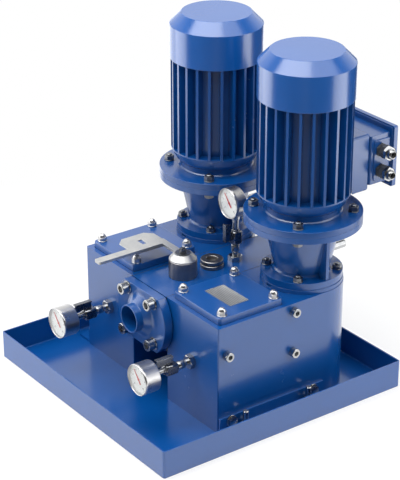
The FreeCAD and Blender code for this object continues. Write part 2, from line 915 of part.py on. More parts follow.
def make_lantern_fasteners():
    nuts = []
    bolts = []
    stubs = []
    for side in SIDES.values():
        centre = V(pump_x(side), pump_y, lantern_deck)
        for place in around(centre, lantern_pcd / 2, 4, 45):
            reach = lantern_deck - deck + stud_bite
            nut = hex_nut(small_flats, small_nut_height, lantern_stud, stud_rise, place)
            nuts.append(fused([nut, cylinder(lantern_stud, reach, place - Z * reach)]))
        for place in around(V(centre.x, centre.y, lantern_top), motor_flange_pcd / 2, 4, 45):
            grip = lantern_top_thick + shield_thick
            head = hexagon(bolt_flats, bolt_head, place - Z * bolt_head)
            shank = cylinder(motor_bolt, grip, place)
            nut = hex_nut(bolt_flats, nut_height, motor_bolt, stud_rise, place + Z * grip)
            bolts.append(fused([head, shank, nut]))
        root = V(centre.x, pump_y + lantern_foot - lantern_wall + rib_root, deck + stub_rise)
        length = stub_reach + pump_y - root.y
        collar = cylinder(stub_root, length - stub_free, root, Y)
        stub = fused([cylinder(stub_radius, length, root, Y), collar])
        stubs.append(stub.cut(cylinder(stub_bore, length, root, Y)))
    save("lantern_nuts", *nuts)
    save("motor_bolts", *bolts)
    save("leak_stubs", *stubs)


def make_coupling(name, side):
    """Two jaw hubs with a star of elastic spokes between their jaws."""
    at = V(pump_x(side), pump_y, ring_top + coupling_rise)
    lower_z = -coupling_hub + 6.0
    spokes = []
    gap_angle = 360 / (2 * jaw_count) - jaw_angle
    lower = [tube(coupling_radius - 4.0, drive_shaft, coupling_hub - 6.0, V(0, 0, lower_z)),
             tube(coupling_radius, drive_shaft, 6.0, V(0, 0, 0))]
    upper_z = 6.0 + coupling_jaw + 2 * snug
    upper = [tube(coupling_radius, motor_shaft, 6.0, V(0, 0, upper_z)),
             tube(coupling_radius - 4.0, motor_shaft, coupling_hub, V(0, 0, upper_z + 6.0))]
    for jaw in range(jaw_count):
        start = jaw * 360 / jaw_count
        half_turn = 180 / jaw_count
        tooth = sector(coupling_radius, motor_shaft + 3.0, coupling_jaw, start, jaw_angle)
        lower.append(turned(tooth, V(0, 0, 6.0)))
        upper.append(turned(tooth, V(0, 0, upper_z - coupling_jaw), Z, half_turn))
    for spoke in range(2 * jaw_count):
        start = spoke * 180 / jaw_count + jaw_angle
        spokes.append(sector(coupling_radius - 1.0, 10.0, coupling_jaw, start + 0.3, gap_angle - 0.6))
    star = fused(spokes + [tube(motor_shaft + 2.6, 9.0, coupling_jaw, V(0, 0, 0))])
    star = turned(star, V(0, 0, 6.0 + snug))
    pieces = [fused(lower), fused(upper), star]
    save("coupling_" + name, *[turned(piece, at) for piece in pieces])


def make_motor_shield(name, side):
    """Flanged end of the motor: disc, neck and the bowl that carries the finned frame."""
    at = V(pump_x(side), pump_y, shield_z)
    bore = motor_shaft + bearing_play
    start = frame_start
    neck = shield_neck
    wall = shield_wall
    foot = shield_thick + neck_foot
    bowl = shield_thick + neck_height
    lip = start - bowl_lip
    outline = [(bore, -spigot_depth), (spigot_radius, -spigot_depth), (spigot_radius, 0),
               (motor_flange_radius, 0), (motor_flange_radius, shield_thick),
               (neck + neck_foot, shield_thick), (neck, foot), (neck, bowl), (neck + wall, bowl + wall),
               (fin_radius - wall / 2, lip - wall), (fin_radius, lip), (fin_radius, start),
               (fin_radius - wall, start),
               (neck, start - 1.5 * wall), (neck - wall, bowl), (neck - wall, foot), (hub_radius, foot),
               (hub_radius, bowl), (bore, bowl)]
    shield = lathe(outline)
    for place in around(V(0, 0, 0), motor_flange_pcd / 2, 4, 45):
        shield = shield.cut(cylinder(motor_bolt + bolt_play, shield_thick, place))
    save("motor_shield_" + name, turned(shield, at))


def pedestal():
    """Cast foot of the terminal box on the back of the motor frame."""
    half = pedestal_width / 2
    body = block(-half, half, 0, pedestal_reach, -pedestal_drop, pedestal_height - pedestal_drop)
    soft = [edge for edge in body.Edges if edge.BoundBox.YMax > pedestal_reach / 2]
    body = body.makeFillet(pedestal_edge, soft)
    below = cylinder(fin_radius + shield_gap, pedestal_drop, V(0, 0, -pedestal_drop))
    return body.cut(below).cut(cylinder(frame_radius, frame_length, V(0, 0, 0)))


def make_motor_frame(name, side):
    at = V(pump_x(side), pump_y, frame_z)
    plate_z = frame_length - frame_plate
    barrel = tube(frame_radius, stator_radius, plate_z, V(0, 0, 0))
    foot = tube(fin_radius, stator_radius, frame_foot, V(0, 0, 0))
    plate = tube(frame_radius, motor_shaft + bearing_play, frame_plate, V(0, 0, plate_z))
    fins = []
    for step in range(fin_count):
        fin = block(frame_radius - fin_root, fin_radius, -fin_thick / 2, fin_thick / 2, 0, frame_length)
        fin.rotate(V(0, 0, 0), Z, fin_start + 360 / fin_count * step)
        fins.append(fin)
    frame = fused([barrel, foot, plate, pedestal()] + fins)
    save("motor_frame_" + name, turned(frame, at))


def make_cowl(name, side):
    at = V(pump_x(side), pump_y, cowl_z)
    wall = cowl_wall
    shoulder = cowl_skirt
    roof = cowl_skirt + cowl_slope
    outline = [(cowl_radius - wall, 0), (cowl_radius, 0), (cowl_radius, shoulder), (cowl_top_radius, roof),
               (0, roof), (0, roof - wall), (cowl_top_radius - wall / 2, roof - wall),
               (cowl_radius - wall, shoulder - wall / 2)]
    save("fan_cowl_" + name, lathe(outline, at))


def make_motor_rotor(name, side):
    """Motor shaft with the rotor pack on it, and the fan at its upper end."""
    x = pump_x(side)
    shaft_z = ring_top + coupling_rise + 6.0 + coupling_jaw + 2 * snug
    fan_z = frame_top + fan_rise
    shaft = cylinder(motor_shaft, frame_top - shaft_z, V(x, pump_y, shaft_z))
    nose = cylinder(fan_shaft, fan_rise + fan_height, V(x, pump_y, frame_top))
    pack = cylinder(stator_radius - rotor_gap, rotor_length, V(x, pump_y, frame_z + rotor_start))
    save("motor_rotor_" + name, fused([shaft, nose, pack]))
    hub = tube(fan_hub, fan_shaft, fan_height, V(0, 0, 0))
    back = tube(fan_radius, fan_hub - fan_thick, fan_thick, V(0, 0, 0))
    blades = []
    for step in range(fan_blades):
        blade = block(fan_hub - fan_thick, fan_radius - fan_thick, -fan_thick / 2, fan_thick / 2, 0,
                      fan_height)
        blade.rotate(V(0, 0, 0), Z, 360 / fan_blades * step)
        blades.append(blade)
    save("fan_" + name, turned(fused([hub, back] + blades), V(x, pump_y, fan_z)))


def gland_places(side):
    x = pump_x(side) + box_width / 2 + gland_pad
    y = box_y + gland_back
    return [V(x, y, gland_z - gland_spacing / 2), V(x, y, gland_z + gland_spacing / 2)]


def cable_gland(at):
    """Hollow gland: thread in the wall, two hexagons, clamp nut and tapered mouth."""
    inner_z = -box_wall - gland_pad
    body_z = gland_hex + gland_waist
    nut_z = body_z + gland_body
    mouth_z = nut_z + gland_nut
    end = mouth_z + gland_mouth
    solid = fused([
        cylinder(gland_thread, gland_hex - inner_z, V(0, 0, inner_z)),
        hexagon(gland_flats, gland_hex, V(0, 0, 0)),
        cylinder(gland_radius, gland_waist, V(0, 0, gland_hex)),
        hexagon(gland_radius * 2, gland_body, V(0, 0, body_z), Z, 30),
        hexagon(gland_flats, gland_nut, V(0, 0, nut_z)),
        lathe([(0, mouth_z), (gland_radius, mouth_z), (gland_radius, end - gland_mouth / 2),
               (gland_radius - gland_taper, end), (0, end)]),
    ])
    bore = cylinder(gland_bore, end - inner_z, V(0, 0, inner_z))
    return turned(solid.cut(bore), at, X)


def make_terminal_boxes():
    lids = []
    glands = []
    for name, side in SIDES.items():
        x = pump_x(side)
        half = box_width / 2
        body = block(x - half, x + half, box_y, box_y + box_depth, box_z, box_z + box_height)
        upright = [e for e in edges_at(body, lambda p: near(p.y, box_y)) if near(e.BoundBox.XLength, 0)]
        body = body.makeFillet(box_edge, upright)
        hollow = block(x - half + box_wall, x + half - box_wall, box_y + box_wall, box_y + box_depth,
                       box_z + box_wall, box_z + box_height - box_wall)
        pad_y = box_y + gland_pad_start
        pad_z = box_z + gland_pad_lift
        pad = block(x + half, x + half + gland_pad, pad_y, box_y + box_depth, pad_z, pad_z + gland_pad_height)
        front = [e for e in edges_at(pad, lambda p: near(p.y, pad_y)) if near(e.BoundBox.ZLength, 0)]
        pad = pad.makeFillet(gland_pad_edge, front)
        box = fused([body, pad]).cut(hollow)
        for place in gland_places(side):
            hole = cylinder(gland_thread + snug, box_wall + gland_pad, place, X * -1)
            box = box.cut(hole)
            glands.append(cable_gland(place))
        save("terminal_box_" + name, box)
        lids.append(terminal_lid(x))
    save("terminal_lids", *lids)
    save("cable_glands", *glands)


def terminal_lid(x):
    """Plate with rounded upright edges; a thinner step behind it leaves a dark joint line."""
    half = lid_width / 2
    y = box_y + box_depth
    inset = lid_edge
    joint = y + lid_joint
    step = block(x - half + inset, x + half - inset, y, joint, lid_z + inset, lid_z + lid_height - inset)
    plate = block(x - half, x + half, joint, y + lid_thick, lid_z, lid_z + lid_height)
    along = [edge for edge in plate.Edges if near(edge.BoundBox.XLength + edge.BoundBox.ZLength, 0)]
    plate = plate.makeFillet(lid_edge, along)
    return fused([step, plate])


def make_valve():
    """Fixed bonnet, turning plug with its spindle, and the lever with the plate that covers one strainer."""
    at = V(0, valve_y, deck)
    bonnet = lathe([(spindle_radius + bearing_play, 0), (bonnet_radius, 0),
                    (bonnet_radius, bonnet_height - bonnet_chamfer),
                    (bonnet_radius - bonnet_chamfer, bonnet_height),
                    (spindle_radius + bearing_play, bonnet_height)], at)
    hang = plug_roof - apart
    retainer = tube(plug_radius - retainer_play, spindle_radius + bearing_play, hang, at - Z * hang)
    save("valve_bonnet", fused([bonnet, retainer]))
    plug_base = V(0, valve_y, deck - plug_roof - plug_height)
    plug = cylinder(plug_radius, plug_height, plug_base)
    ports = [cylinder(cross_bore, plug_radius, V(0, valve_y, port_z), X * -1),
             cylinder(cross_bore, plug_radius, V(0, valve_y, port_z), Y * -1),
             Part.makeSphere(cross_bore, V(0, valve_y, port_z))]
    neck = cylinder(spindle_radius, plug_roof + cap_top - deck, at - Z * plug_roof)
    clamp = cylinder(clamp_radius, clamp_thick, V(0, valve_y, cap_top))
    nut_at = V(0, valve_y, cap_top + clamp_thick)
    nut = hex_nut(spindle_flats, spindle_nut, spindle_thread, spindle_nut_rise, nut_at)
    save("valve_spindle", fused([without(plug, ports), neck, clamp, nut]))


def make_lever():
    """Lever whose arm comes out of a conical cap over the bonnet, and the plate under its bar."""
    at = V(0, valve_y, lever_z)
    bar_x = lever_arm
    low = cap_z - lever_z
    high = cap_top - lever_z
    hub = lathe([(0, low), (lever_cap_radius, low), (lever_cap_radius, low + lever_cap_edge),
                 (lever_cap_top, high), (0, high)])
    arm = block(-bar_x, -spindle_radius, -lever_arm_width / 2, lever_arm_width / 2, 0, lever_thick)
    bar = block(-bar_x - bar_width / 2, -bar_x + bar_width / 2, -bar_front, bar_back, 0, lever_thick)
    ends = [e for e in bar.Edges if near(e.BoundBox.XLength, 0) and near(e.BoundBox.YLength, 0)]
    bar = bar.makeFillet(bar_edge, ends)
    lever = fused([hub, arm, bar]).cut(cylinder(spindle_radius + snug, high - low, V(0, 0, low)))
    save("changeover_lever", turned(lever, at))
    near_x = -bar_x + bar_width / 2
    far_x = near_x - plate_width
    back = plate_offset
    points = [(near_x, back - plate_length), (near_x, back), (far_x + plate_chamfer, back),
              (far_x, back - plate_chamfer), (far_x, back - plate_length + plate_chamfer),
              (far_x + plate_chamfer, back - plate_length)]
    plate = prism(points, plate_thick)
    middle = V(far_x + plate_width / 2, back - plate_length / 2, 0)
    slot = block(middle.x - slot_length / 2, middle.x + slot_length / 2, middle.y - slot_width / 2,
                 middle.y + slot_width / 2, 0, plate_thick)
    save("blocking_plate", turned(plate.cut(slot), V(0, valve_y, lever_z - plate_thick)))


def gauge_case(length):
    """Cup with a flat back, made along +Z from its back to its rim."""
    wall = gauge_wall
    outline = [(0, 0), (gauge_radius, 0), (gauge_radius, length), (gauge_radius - wall, length),
               (gauge_radius - wall, wall), (0, wall)]
    return lathe(outline)


def gauge_faces(front, facing, depth):
    """Dial and window of one gauge of a depth whose rim lies at front and faces along facing."""
    inner = gauge_radius - gauge_wall
    pin = pointer_pin + bearing_play
    dial = tube(inner, pin, depth - gauge_wall - gauge_dial_inset, front - facing * (depth - gauge_wall),
                facing)
    lens = cylinder(inner, lens_thick, front - facing * lens_thick, facing)
    return dial, lens


def make_pointer(name, front, facing):
    """Red pointer on a short pin, standing at its rest angle as seen from the front."""
    tip = pointer_length
    tail = -pointer_tail
    width = pointer_width
    outline = [(tip, width / 4), (0, width), (tail, width), (tail, -width), (0, -width), (tip, -width / 4)]
    blade = prism(outline, pointer_thick)
    hub = cylinder(pointer_hub, pointer_thick, V(0, 0, 0))
    pin = cylinder(pointer_pin, pointer_seat, V(0, 0, -pointer_seat))
    pointer = fused([blade, hub, pin])
    pointer.rotate(V(0, 0, 0), Z, pointer_rest)
    pointer.rotate(V(0, 0, 0), X, 90)
    pointer.translate(front - facing * (gauge_dial_inset - apart))
    save("gauge_pointer_" + name, pointer)


def gauge_fitting(length):
    """Stop valve and unions made along +Z from the wall to the gauge, without the hole for the stem."""
    half = valve_width / 2
    body = block(-half, half, -half, half, valve_start, valve_start + valve_length)
    body = body.makeChamfer(valve_bevel, [e for e in body.Edges if near(e.BoundBox.ZLength, valve_length)])
    return fused([
        body,
        cylinder(fitting_neck, fitting_bite + length, V(0, 0, -fitting_bite)),
        hexagon(fitting_nut, fitting_nut_height, V(0, 0, 0)),
        hexagon(union_flats, valve_start - union_start, V(0, 0, union_start), Z, 30),
        hexagon(socket_flats, socket_length, V(0, 0, length - socket_length)),
    ])


def handle(name, at, stem, along):
    """Flag handle on its stem, pointing along the pipe to the gauge while the valve is open."""
    lift = valve_width / 2 + handle_lift
    post = cylinder(valve_stem, lift - valve_stem, V(0, 0, valve_stem))
    outline = [(-handle_back, 0), (handle_reach - handle_slant, 0), (handle_reach, handle_height),
               (-handle_back, handle_height)]
    flag = turned(prism(outline, handle_thick), V(0, handle_thick / 2, lift), Y * -1, 0)
    top = lift + handle_height
    crown = block(-handle_back, handle_reach, -handle_thick, handle_thick, top - handle_crown, top)
    piece = fused([post, flag, crown])
    piece.Placement = FreeCAD.Placement(at, FreeCAD.Rotation(along, stem.cross(along), stem, "ZXY"))
    save("gauge_handle_" + name, piece)


def stem_hole(at, stem):
    return cylinder(valve_stem + bearing_play, valve_width, at + stem * (valve_stem - apart), stem)


def make_gauges():
    cases = []
    fittings = []
    dials = []
    lenses = []
    facing = Y * -1
    for name, side in SIDES.items():
        wall = V(pump_x(side), housing_front, gauge_z)
        length = gauge_reach - gauge_depth
        fitting = turned(gauge_fitting(length), wall, facing)
        at = wall + facing * stem_setback
        fittings.append(fitting.cut(stem_hole(at, Z)))
        handle(name, at, Z, facing)
        cases.append(turned(gauge_case(gauge_depth), wall + facing * length, facing))
        front = wall + facing * gauge_reach
        dial, lens = gauge_faces(front, facing, gauge_depth)
        dials.append(dial)
        lenses.append(lens)
        make_pointer(name, front, facing)
    make_rear_gauge(cases, fittings, dials, lenses)
    save("gauge_cases", *cases)
    save("gauge_fittings", *fittings)
    save("gauge_dials", *dials)
    save("gauge_lenses", *lenses)


def make_rear_gauge(cases, fittings, dials, lenses):
    """Gauge on an upright column, entered from below."""
    facing = Y * -1
    foot = rear_gauge_foot()
    middle = foot + Z * rear_gauge_rise
    length = rear_gauge_rise - gauge_radius
    at = foot + Z * stem_setback
    fittings.append(turned(gauge_fitting(length), foot).cut(stem_hole(at, facing)))
    handle("rear", at, facing, Z)
    back = middle - facing * rear_gauge_back
    seat = cylinder(rear_gauge_back, gauge_radius, foot + Z * length)
    case = turned(gauge_case(rear_gauge_depth), back, facing)
    seat = seat.cut(cylinder(gauge_radius - gauge_wall, rear_gauge_depth, back, facing))
    cases.append(fused([case, seat]))
    front = back + facing * rear_gauge_depth
    dial, lens = gauge_faces(front, facing, rear_gauge_depth)
    dials.append(dial)
    lenses.append(lens)
    make_pointer("rear", front, facing)


def make_plugs():
    """Socket plugs on the housings' outer faces and the large overflow plug on the middle block."""
    plugs = []
    for side in SIDES.values():
        for place in side_plug_places(side):
            head = cylinder(side_plug_radius, side_plug_head, V(0, 0, 0))
            thread = cylinder(side_plug_thread, side_plug_bite, V(0, 0, -side_plug_bite))
            socket = hexagon(plug_flats, plug_socket, V(0, 0, side_plug_head - plug_socket))
            plugs.append(turned(fused([head, thread]).cut(socket), place, X * side))
    save("side_plugs", *plugs)
    at = V(0, housing_front + overflow_setback, deck)
    lower = overflow_height / 2
    upper = overflow_radius - overflow_step
    cap = lathe([(0, 0), (overflow_radius, 0), (overflow_radius, lower - overflow_step), (upper, lower),
                 (upper, overflow_height), (overflow_recess, overflow_height), (overflow_recess, lower),
                 (0, lower)])
    thread = cylinder(overflow_thread - snug, overflow_bite, V(0, 0, -overflow_bite))
    save("overflow_plug", turned(fused([cap, thread]), at))


def make_nameplate():
    x = pump_x(1) + nameplate_side
    y = cover_y - nameplate_offset
    save("nameplate", block(x - nameplate_width / 2, x + nameplate_width / 2, y - nameplate_length / 2,
                            y + nameplate_length / 2, cover_top, cover_top + nameplate_thick))


def main():
    make_tray()
    make_rails()
    make_middle_block()
    flange_gaskets = make_pipe_flanges()
    make_covers(flange_gaskets)
    make_pumps()
    make_bearing_covers()
    make_lantern_fasteners()
    for name, side in SIDES.items():
        make_housing(name, side)
        make_lantern(name, side)
        make_coupling(name, side)
        make_motor_shield(name, side)
        make_motor_frame(name, side)
        make_cowl(name, side)
        make_motor_rotor(name, side)
    make_terminal_boxes()
    make_valve()
    make_lever()
    make_gauges()
    make_plugs()
    make_nameplate()


main()
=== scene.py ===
import logging
import math
from dataclasses import dataclass, field
from enum import Enum
from functools import cache
from typing import Sequence

import bpy
from mathutils import Matrix, Vector


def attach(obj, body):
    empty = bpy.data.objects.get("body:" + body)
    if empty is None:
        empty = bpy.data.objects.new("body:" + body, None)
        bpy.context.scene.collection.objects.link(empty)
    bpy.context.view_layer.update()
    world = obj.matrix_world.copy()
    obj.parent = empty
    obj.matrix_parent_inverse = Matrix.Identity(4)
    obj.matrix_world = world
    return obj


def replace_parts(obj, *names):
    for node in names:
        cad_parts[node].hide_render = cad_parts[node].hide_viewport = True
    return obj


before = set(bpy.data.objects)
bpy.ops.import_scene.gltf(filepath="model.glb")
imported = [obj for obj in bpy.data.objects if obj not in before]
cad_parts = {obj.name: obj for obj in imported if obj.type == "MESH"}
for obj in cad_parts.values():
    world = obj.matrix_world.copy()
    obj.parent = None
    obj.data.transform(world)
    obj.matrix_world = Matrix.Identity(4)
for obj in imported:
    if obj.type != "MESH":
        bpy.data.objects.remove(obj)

# Twin screw pump station: finishes, modelled details, studio light and camera, in metres in the frame's axes.

LOG = logging.getLogger("pump_station")
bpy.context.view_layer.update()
PHOTO_WIDTH, PHOTO_HEIGHT = 400, 480
UP = Vector((0.0, 0.0, 1.0))
MERGE = 1e-6
SHARP_ANGLE = math.radians(28.0)
SMOOTH_ANGLE = math.radians(40.0)
# The cone that cuts a hexagon's corners: its drop and its flat's radius, as shares of the width across flats.
CONE_SLOPE, CONE_FLAT = 0.58, 0.475
# Radians that Blender's wave texture turns in one metre at scale 1.
WAVE_RATE = 20.0
# Distance from the middle to each pump's axis, and height of the housings' deck.
PUMP_X, DECK = 0.148, 0.239
Piece = bpy.types.Object
Colour = tuple[float, float, float]
Scale = tuple[float, float, float]
Place = tuple[float, float, float]
Span = tuple[float, float]
Head = tuple[float, float, float, float]
Profile = Sequence[Span]


class Side(Enum):
    """The two pumps, by the side of the middle block that each stands on."""

    LEFT = -1
    RIGHT = 1

    @property
    def word(self) -> str:
        """Name of the side as the nodes spell it."""
        return self.name.lower()

    @property
    def axis(self) -> "Axis":
        """Direction away from the middle block on this side."""
        return Axis[self.name]


class Axis(Enum):
    """Direction in which a turned or hexagonal piece grows from its seat."""

    UP = (0.0, 0.0, 1.0)
    DOWN = (0.0, 0.0, -1.0)
    RIGHT = (1.0, 0.0, 0.0)
    LEFT = (-1.0, 0.0, 0.0)
    FRONT = (0.0, -1.0, 0.0)
    BACK = (0.0, 1.0, 0.0)

    @property
    def vector(self) -> Vector:
        """The direction as a vector."""
        return Vector(self.value)


# ---- Finishes

class Wire:
    """Output socket of a node; arithmetic on it adds Math nodes to its tree."""

    def __init__(self, tree: bpy.types.NodeTree, socket: bpy.types.NodeSocket) -> None:
        """Keep the tree and the socket."""
        self.tree = tree
        self.socket = socket

    def _math(self, operation: str, first: "Wire | float", second: "Wire | float") -> "Wire":
        """Add one Math node.

        Args:
            operation: the node's operation.
            first: value or wire on the first socket.
            second: value or wire on the second socket.

        Returns:
            The wire that leaves the node.
        """
        node = self.tree.nodes.new("ShaderNodeMath")
        node.operation = operation
        for socket, value in zip(node.inputs, (first, second)):
            if isinstance(value, Wire):
                self.tree.links.new(value.socket, socket)
            else:
                socket.default_value = value
        return Wire(self.tree, node.outputs[0])

    def __add__(self, other: "Wire | float") -> "Wire":
        """Sum of two values."""
        return self._math("ADD", self, other)

    def __radd__(self, other: float) -> "Wire":
        """Sum with the number first."""
        return self._math("ADD", other, self)

    def __sub__(self, other: "Wire | float") -> "Wire":
        """Difference of two values."""
        return self._math("SUBTRACT", self, other)

    def __rsub__(self, other: float) -> "Wire":
        """Difference with the number first."""
        return self._math("SUBTRACT", other, self)

    def __mul__(self, other: "Wire | float") -> "Wire":
        """Product of two values."""
        return self._math("MULTIPLY", self, other)

    def __rmul__(self, other: float) -> "Wire":
        """Product with the number first."""
        return self._math("MULTIPLY", other, self)

    def power(self, exponent: float) -> "Wire":
        """Value raised to an exponent."""
        return self._math("POWER", self, exponent)

    def held(self, low: float, high: float) -> "Wire":
        """Share of the way from one value to another, held at both ends."""
        share = ((self - low) * (1.0 / (high - low))).larger(0.0)
        return share._math("MINIMUM", share, 1.0)

    def size(self) -> "Wire":
        """Value without its sign."""
        return self._math("ABSOLUTE", self, 0.0)

    def larger(self, other: "Wire | float") -> "Wire":
        """Larger of two values."""
        return self._math("MAXIMUM", self, other)


class Tree:
    """Node tree in the making."""

    def __init__(self, tree: bpy.types.NodeTree) -> None:
        """Keep a node tree and empty it."""
        self.tree = tree
        tree.nodes.clear()

    def link(self, source: bpy.types.NodeSocket, target: bpy.types.NodeSocket) -> None:
        """Join two sockets."""
        self.tree.links.new(source, target)

    def wire(self, node: bpy.types.Node, output: str) -> Wire:
        """Wire that leaves a node's named output."""
        return Wire(self.tree, node.outputs[output])

    def node(self, kind: str, settings: dict | None = None, inputs: dict | None = None) -> bpy.types.Node:
        """Add any node.

        Args:
            kind: the node's type.
            settings: attributes of the node, set first.
            inputs: values or wires of its sockets, by name or number.

        Returns:
            The node.
        """
        node = self.tree.nodes.new(kind)
        for name, value in (settings or {}).items():
            setattr(node, name, value)
        for name, value in (inputs or {}).items():
            socket = node.inputs[name]
            if isinstance(value, Wire):
                self.link(value.socket, socket)
            elif isinstance(value, tuple) and len(value) == 3 and socket.type == "RGBA":
                socket.default_value = (*value, 1.0)
            else:
                socket.default_value = value
        return node

    def along(self, place: Wire, direction: Vector) -> Wire:
        """Part of a place or a direction that lies along another direction."""
        node = self.node("ShaderNodeVectorMath", {"operation": "DOT_PRODUCT"}, {0: place, 1: direction})
        return self.wire(node, "Value")


class Recipe(Tree):
    """Material in the making: a Principled shader and the nodes that feed it."""

    def __init__(self, name: str) -> None:
        """Start an empty node tree with its output and shader.

        Args:
            name: the material's name.
        """
        self.material = bpy.data.materials.new(name)
        self.material.use_nodes = True
        super().__init__(self.material.node_tree)
        self.output = self.node("ShaderNodeOutputMaterial")
        self.shader = self.node("ShaderNodeBsdfPrincipled")
        self.link(self.shader.outputs["BSDF"], self.output.inputs["Surface"])
        self.place = self.wire(self.node("ShaderNodeTexCoord"), "Object")

    def stretched(self, scale: Scale) -> Wire:
        """Object coordinates scaled along each axis."""
        node = self.node("ShaderNodeMapping", inputs={"Vector": self.place, "Scale": scale})
        return self.wire(node, "Vector")

    def noise(self, scale: float, detail: float = 3.0, rough: float = 0.5, place: Wire | None = None) -> Wire:
        """Noise between 0 and 1 on the piece's own coordinates.

        Args:
            scale: waves to the metre.
            detail: octaves.
            rough: share of each finer octave.
            place: coordinates other than the piece's own.

        Returns:
            The noise's wire.
        """
        inputs = {"Vector": place or self.place, "Scale": scale, "Detail": detail, "Roughness": rough}
        return self.wire(self.node("ShaderNodeTexNoise", inputs=inputs), "Fac")

    def spread(self, value: Wire, low: float, high: float,
               out_low: float = 0.0, out_high: float = 1.0) -> Wire:
        """Map a range of a value onto another, held at its ends."""
        inputs = {"Value": value, "From Min": low, "From Max": high, "To Min": out_low, "To Max": out_high}
        return self.wire(self.node("ShaderNodeMapRange", inputs=inputs), "Result")

    def mix(self, factor: Wire, first: Wire | Colour, second: Wire | Colour) -> Wire:
        """Mix two colours."""
        node = self.node("ShaderNodeMix", {"data_type": "RGBA"}, {0: factor, 6: first, 7: second})
        return Wire(self.tree, node.outputs[2])

    def blend(self, factor: Wire, first: bpy.types.Node, second: bpy.types.Node) -> None:
        """Put a mix of two shaders on the output.

        Args:
            factor: share of the second shader.
            first: the first shader.
            second: the second shader.
        """
        node = self.node("ShaderNodeMixShader", inputs={"Fac": factor})
        self.link(first.outputs[0], node.inputs[1])
        self.link(second.outputs[0], node.inputs[2])
        self.link(node.outputs[0], self.output.inputs["Surface"])

    def bump(self, height: Wire, depth: float, strength: float) -> None:
        """Raise the surface by a height wire.

        Args:
            height: the wire, 0 to 1.
            depth: metres at a height of one.
            strength: share of the effect.
        """
        inputs = {"Height": height, "Distance": depth, "Strength": strength}
        last = self.shader.inputs["Normal"].links
        if last:
            inputs["Normal"] = Wire(self.tree, last[0].from_socket)
        node = self.node("ShaderNodeBump", inputs=inputs)
        self.link(node.outputs["Normal"], self.shader.inputs["Normal"])

    def set(self, **values: "Wire | float | Colour") -> None:
        """Feed the shader's sockets.

        Args:
            values: values or wires by the sockets' names, with underscores for spaces.
        """
        for name, value in values.items():
            socket = self.shader.inputs[name.replace("_", " ")]
            if isinstance(value, Wire):
                self.link(value.socket, socket)
            elif isinstance(value, tuple):
                socket.default_value = (*value, 1.0)
            else:
                socket.default_value = value


def shade(colour: Colour, share: float) -> Colour:
    """Colour made darker or lighter by a share."""
    return tuple(min(1.0, channel * share) for channel in colour)


@dataclass(frozen=True)
class Paint:
    """Semi-gloss machine paint over cast or sheet metal."""

    name: str
    slot: str
    colour: Colour
    roughness: float
    cast: float = 0.0
    coat: float = 0.25
    brush: Scale | None = None

    def build(self) -> bpy.types.Material:
        """Make the material: drifting tone, orange peel, settled dust and, on castings, a grainy skin.

        Returns:
            The material.
        """
        recipe = Recipe(self.name)
        drift = recipe.noise(7.0, 2.0)
        fine = recipe.noise(90.0, 4.0, 0.6)
        tone = recipe.mix(drift, shade(self.colour, 0.90), shade(self.colour, 1.10))
        dust = recipe.spread(fine * drift, 0.26, 0.42)
        dusty = tuple(channel * 0.9 + 0.035 for channel in self.colour)
        smear = recipe.noise(26.0, 3.0, 0.6, recipe.stretched((1.0, 1.0, 0.35)))
        recipe.set(Base_Color=recipe.mix(dust * 0.08, tone, dusty))
        recipe.set(Roughness=self.roughness + 0.05 * (smear - 0.5) + 0.02 * dust)
        recipe.set(Coat_Weight=self.coat, Coat_Roughness=0.12, Specular_IOR_Level=0.9)
        recipe.bump(recipe.noise(420.0, 2.0), 0.00004, 0.25)
        if self.cast:
            recipe.bump(recipe.noise(170.0, 5.0, 0.65), 0.00016 * self.cast, 0.5)
        if self.brush:
            recipe.bump(recipe.noise(300.0, 3.0, 0.6, recipe.stretched(self.brush)), 0.00003, 0.5)
        return recipe.material


@dataclass(frozen=True)
class Metal:
    """Bare or plated metal with a fine grain along one axis."""

    name: str
    slot: str
    colour: Colour
    tint: Colour
    roughness: float
    grain: Scale = (1.0, 1.0, 1.0)
    grain_depth: float = 0.00003
    pits: float = 0.0

    def build(self) -> bpy.types.Material:
        """Make the material: clouded tint, drawn grain, wiped patches of roughness and small pits.

        Returns:
            The material.
        """
        recipe = Recipe(self.name)
        cloud = recipe.noise(38.0, 4.0, 0.6)
        grain = recipe.noise(600.0, 2.0, 0.5, recipe.stretched(self.grain))
        tone = recipe.mix(recipe.spread(cloud, 0.35, 0.65), self.colour, self.tint)
        recipe.set(Base_Color=recipe.mix(grain * 0.35, tone, shade(self.colour, 0.72)), Metallic=1.0)
        recipe.set(Roughness=self.roughness + 0.16 * (cloud - 0.5) + 0.10 * (grain - 0.5))
        recipe.bump(grain, self.grain_depth, 0.6)
        if self.pits:
            recipe.bump(recipe.spread(recipe.noise(240.0, 3.0), 0.30, 0.45), 0.0002 * self.pits, 0.4)
        return recipe.material


@dataclass(frozen=True)
class Moulding:
    """Moulded plastic, rubber or sealing sheet."""

    name: str
    slot: str
    colour: Colour
    roughness: float
    texture: float
    depth: float = 0.00006

    def build(self) -> bpy.types.Material:
        """Make the material: eroded mould texture, faint mottling and dulled high spots.

        Returns:
            The material.
        """
        recipe = Recipe(self.name)
        mottle = recipe.noise(60.0, 3.0)
        texture = recipe.noise(self.texture, 3.0, 0.6)
        recipe.set(Base_Color=recipe.mix(mottle, shade(self.colour, 0.86), shade(self.colour, 1.14)))
        recipe.set(Roughness=self.roughness + 0.14 * (texture - 0.5), Specular_IOR_Level=0.45)
        recipe.bump(texture, self.depth, 0.6)
        return recipe.material


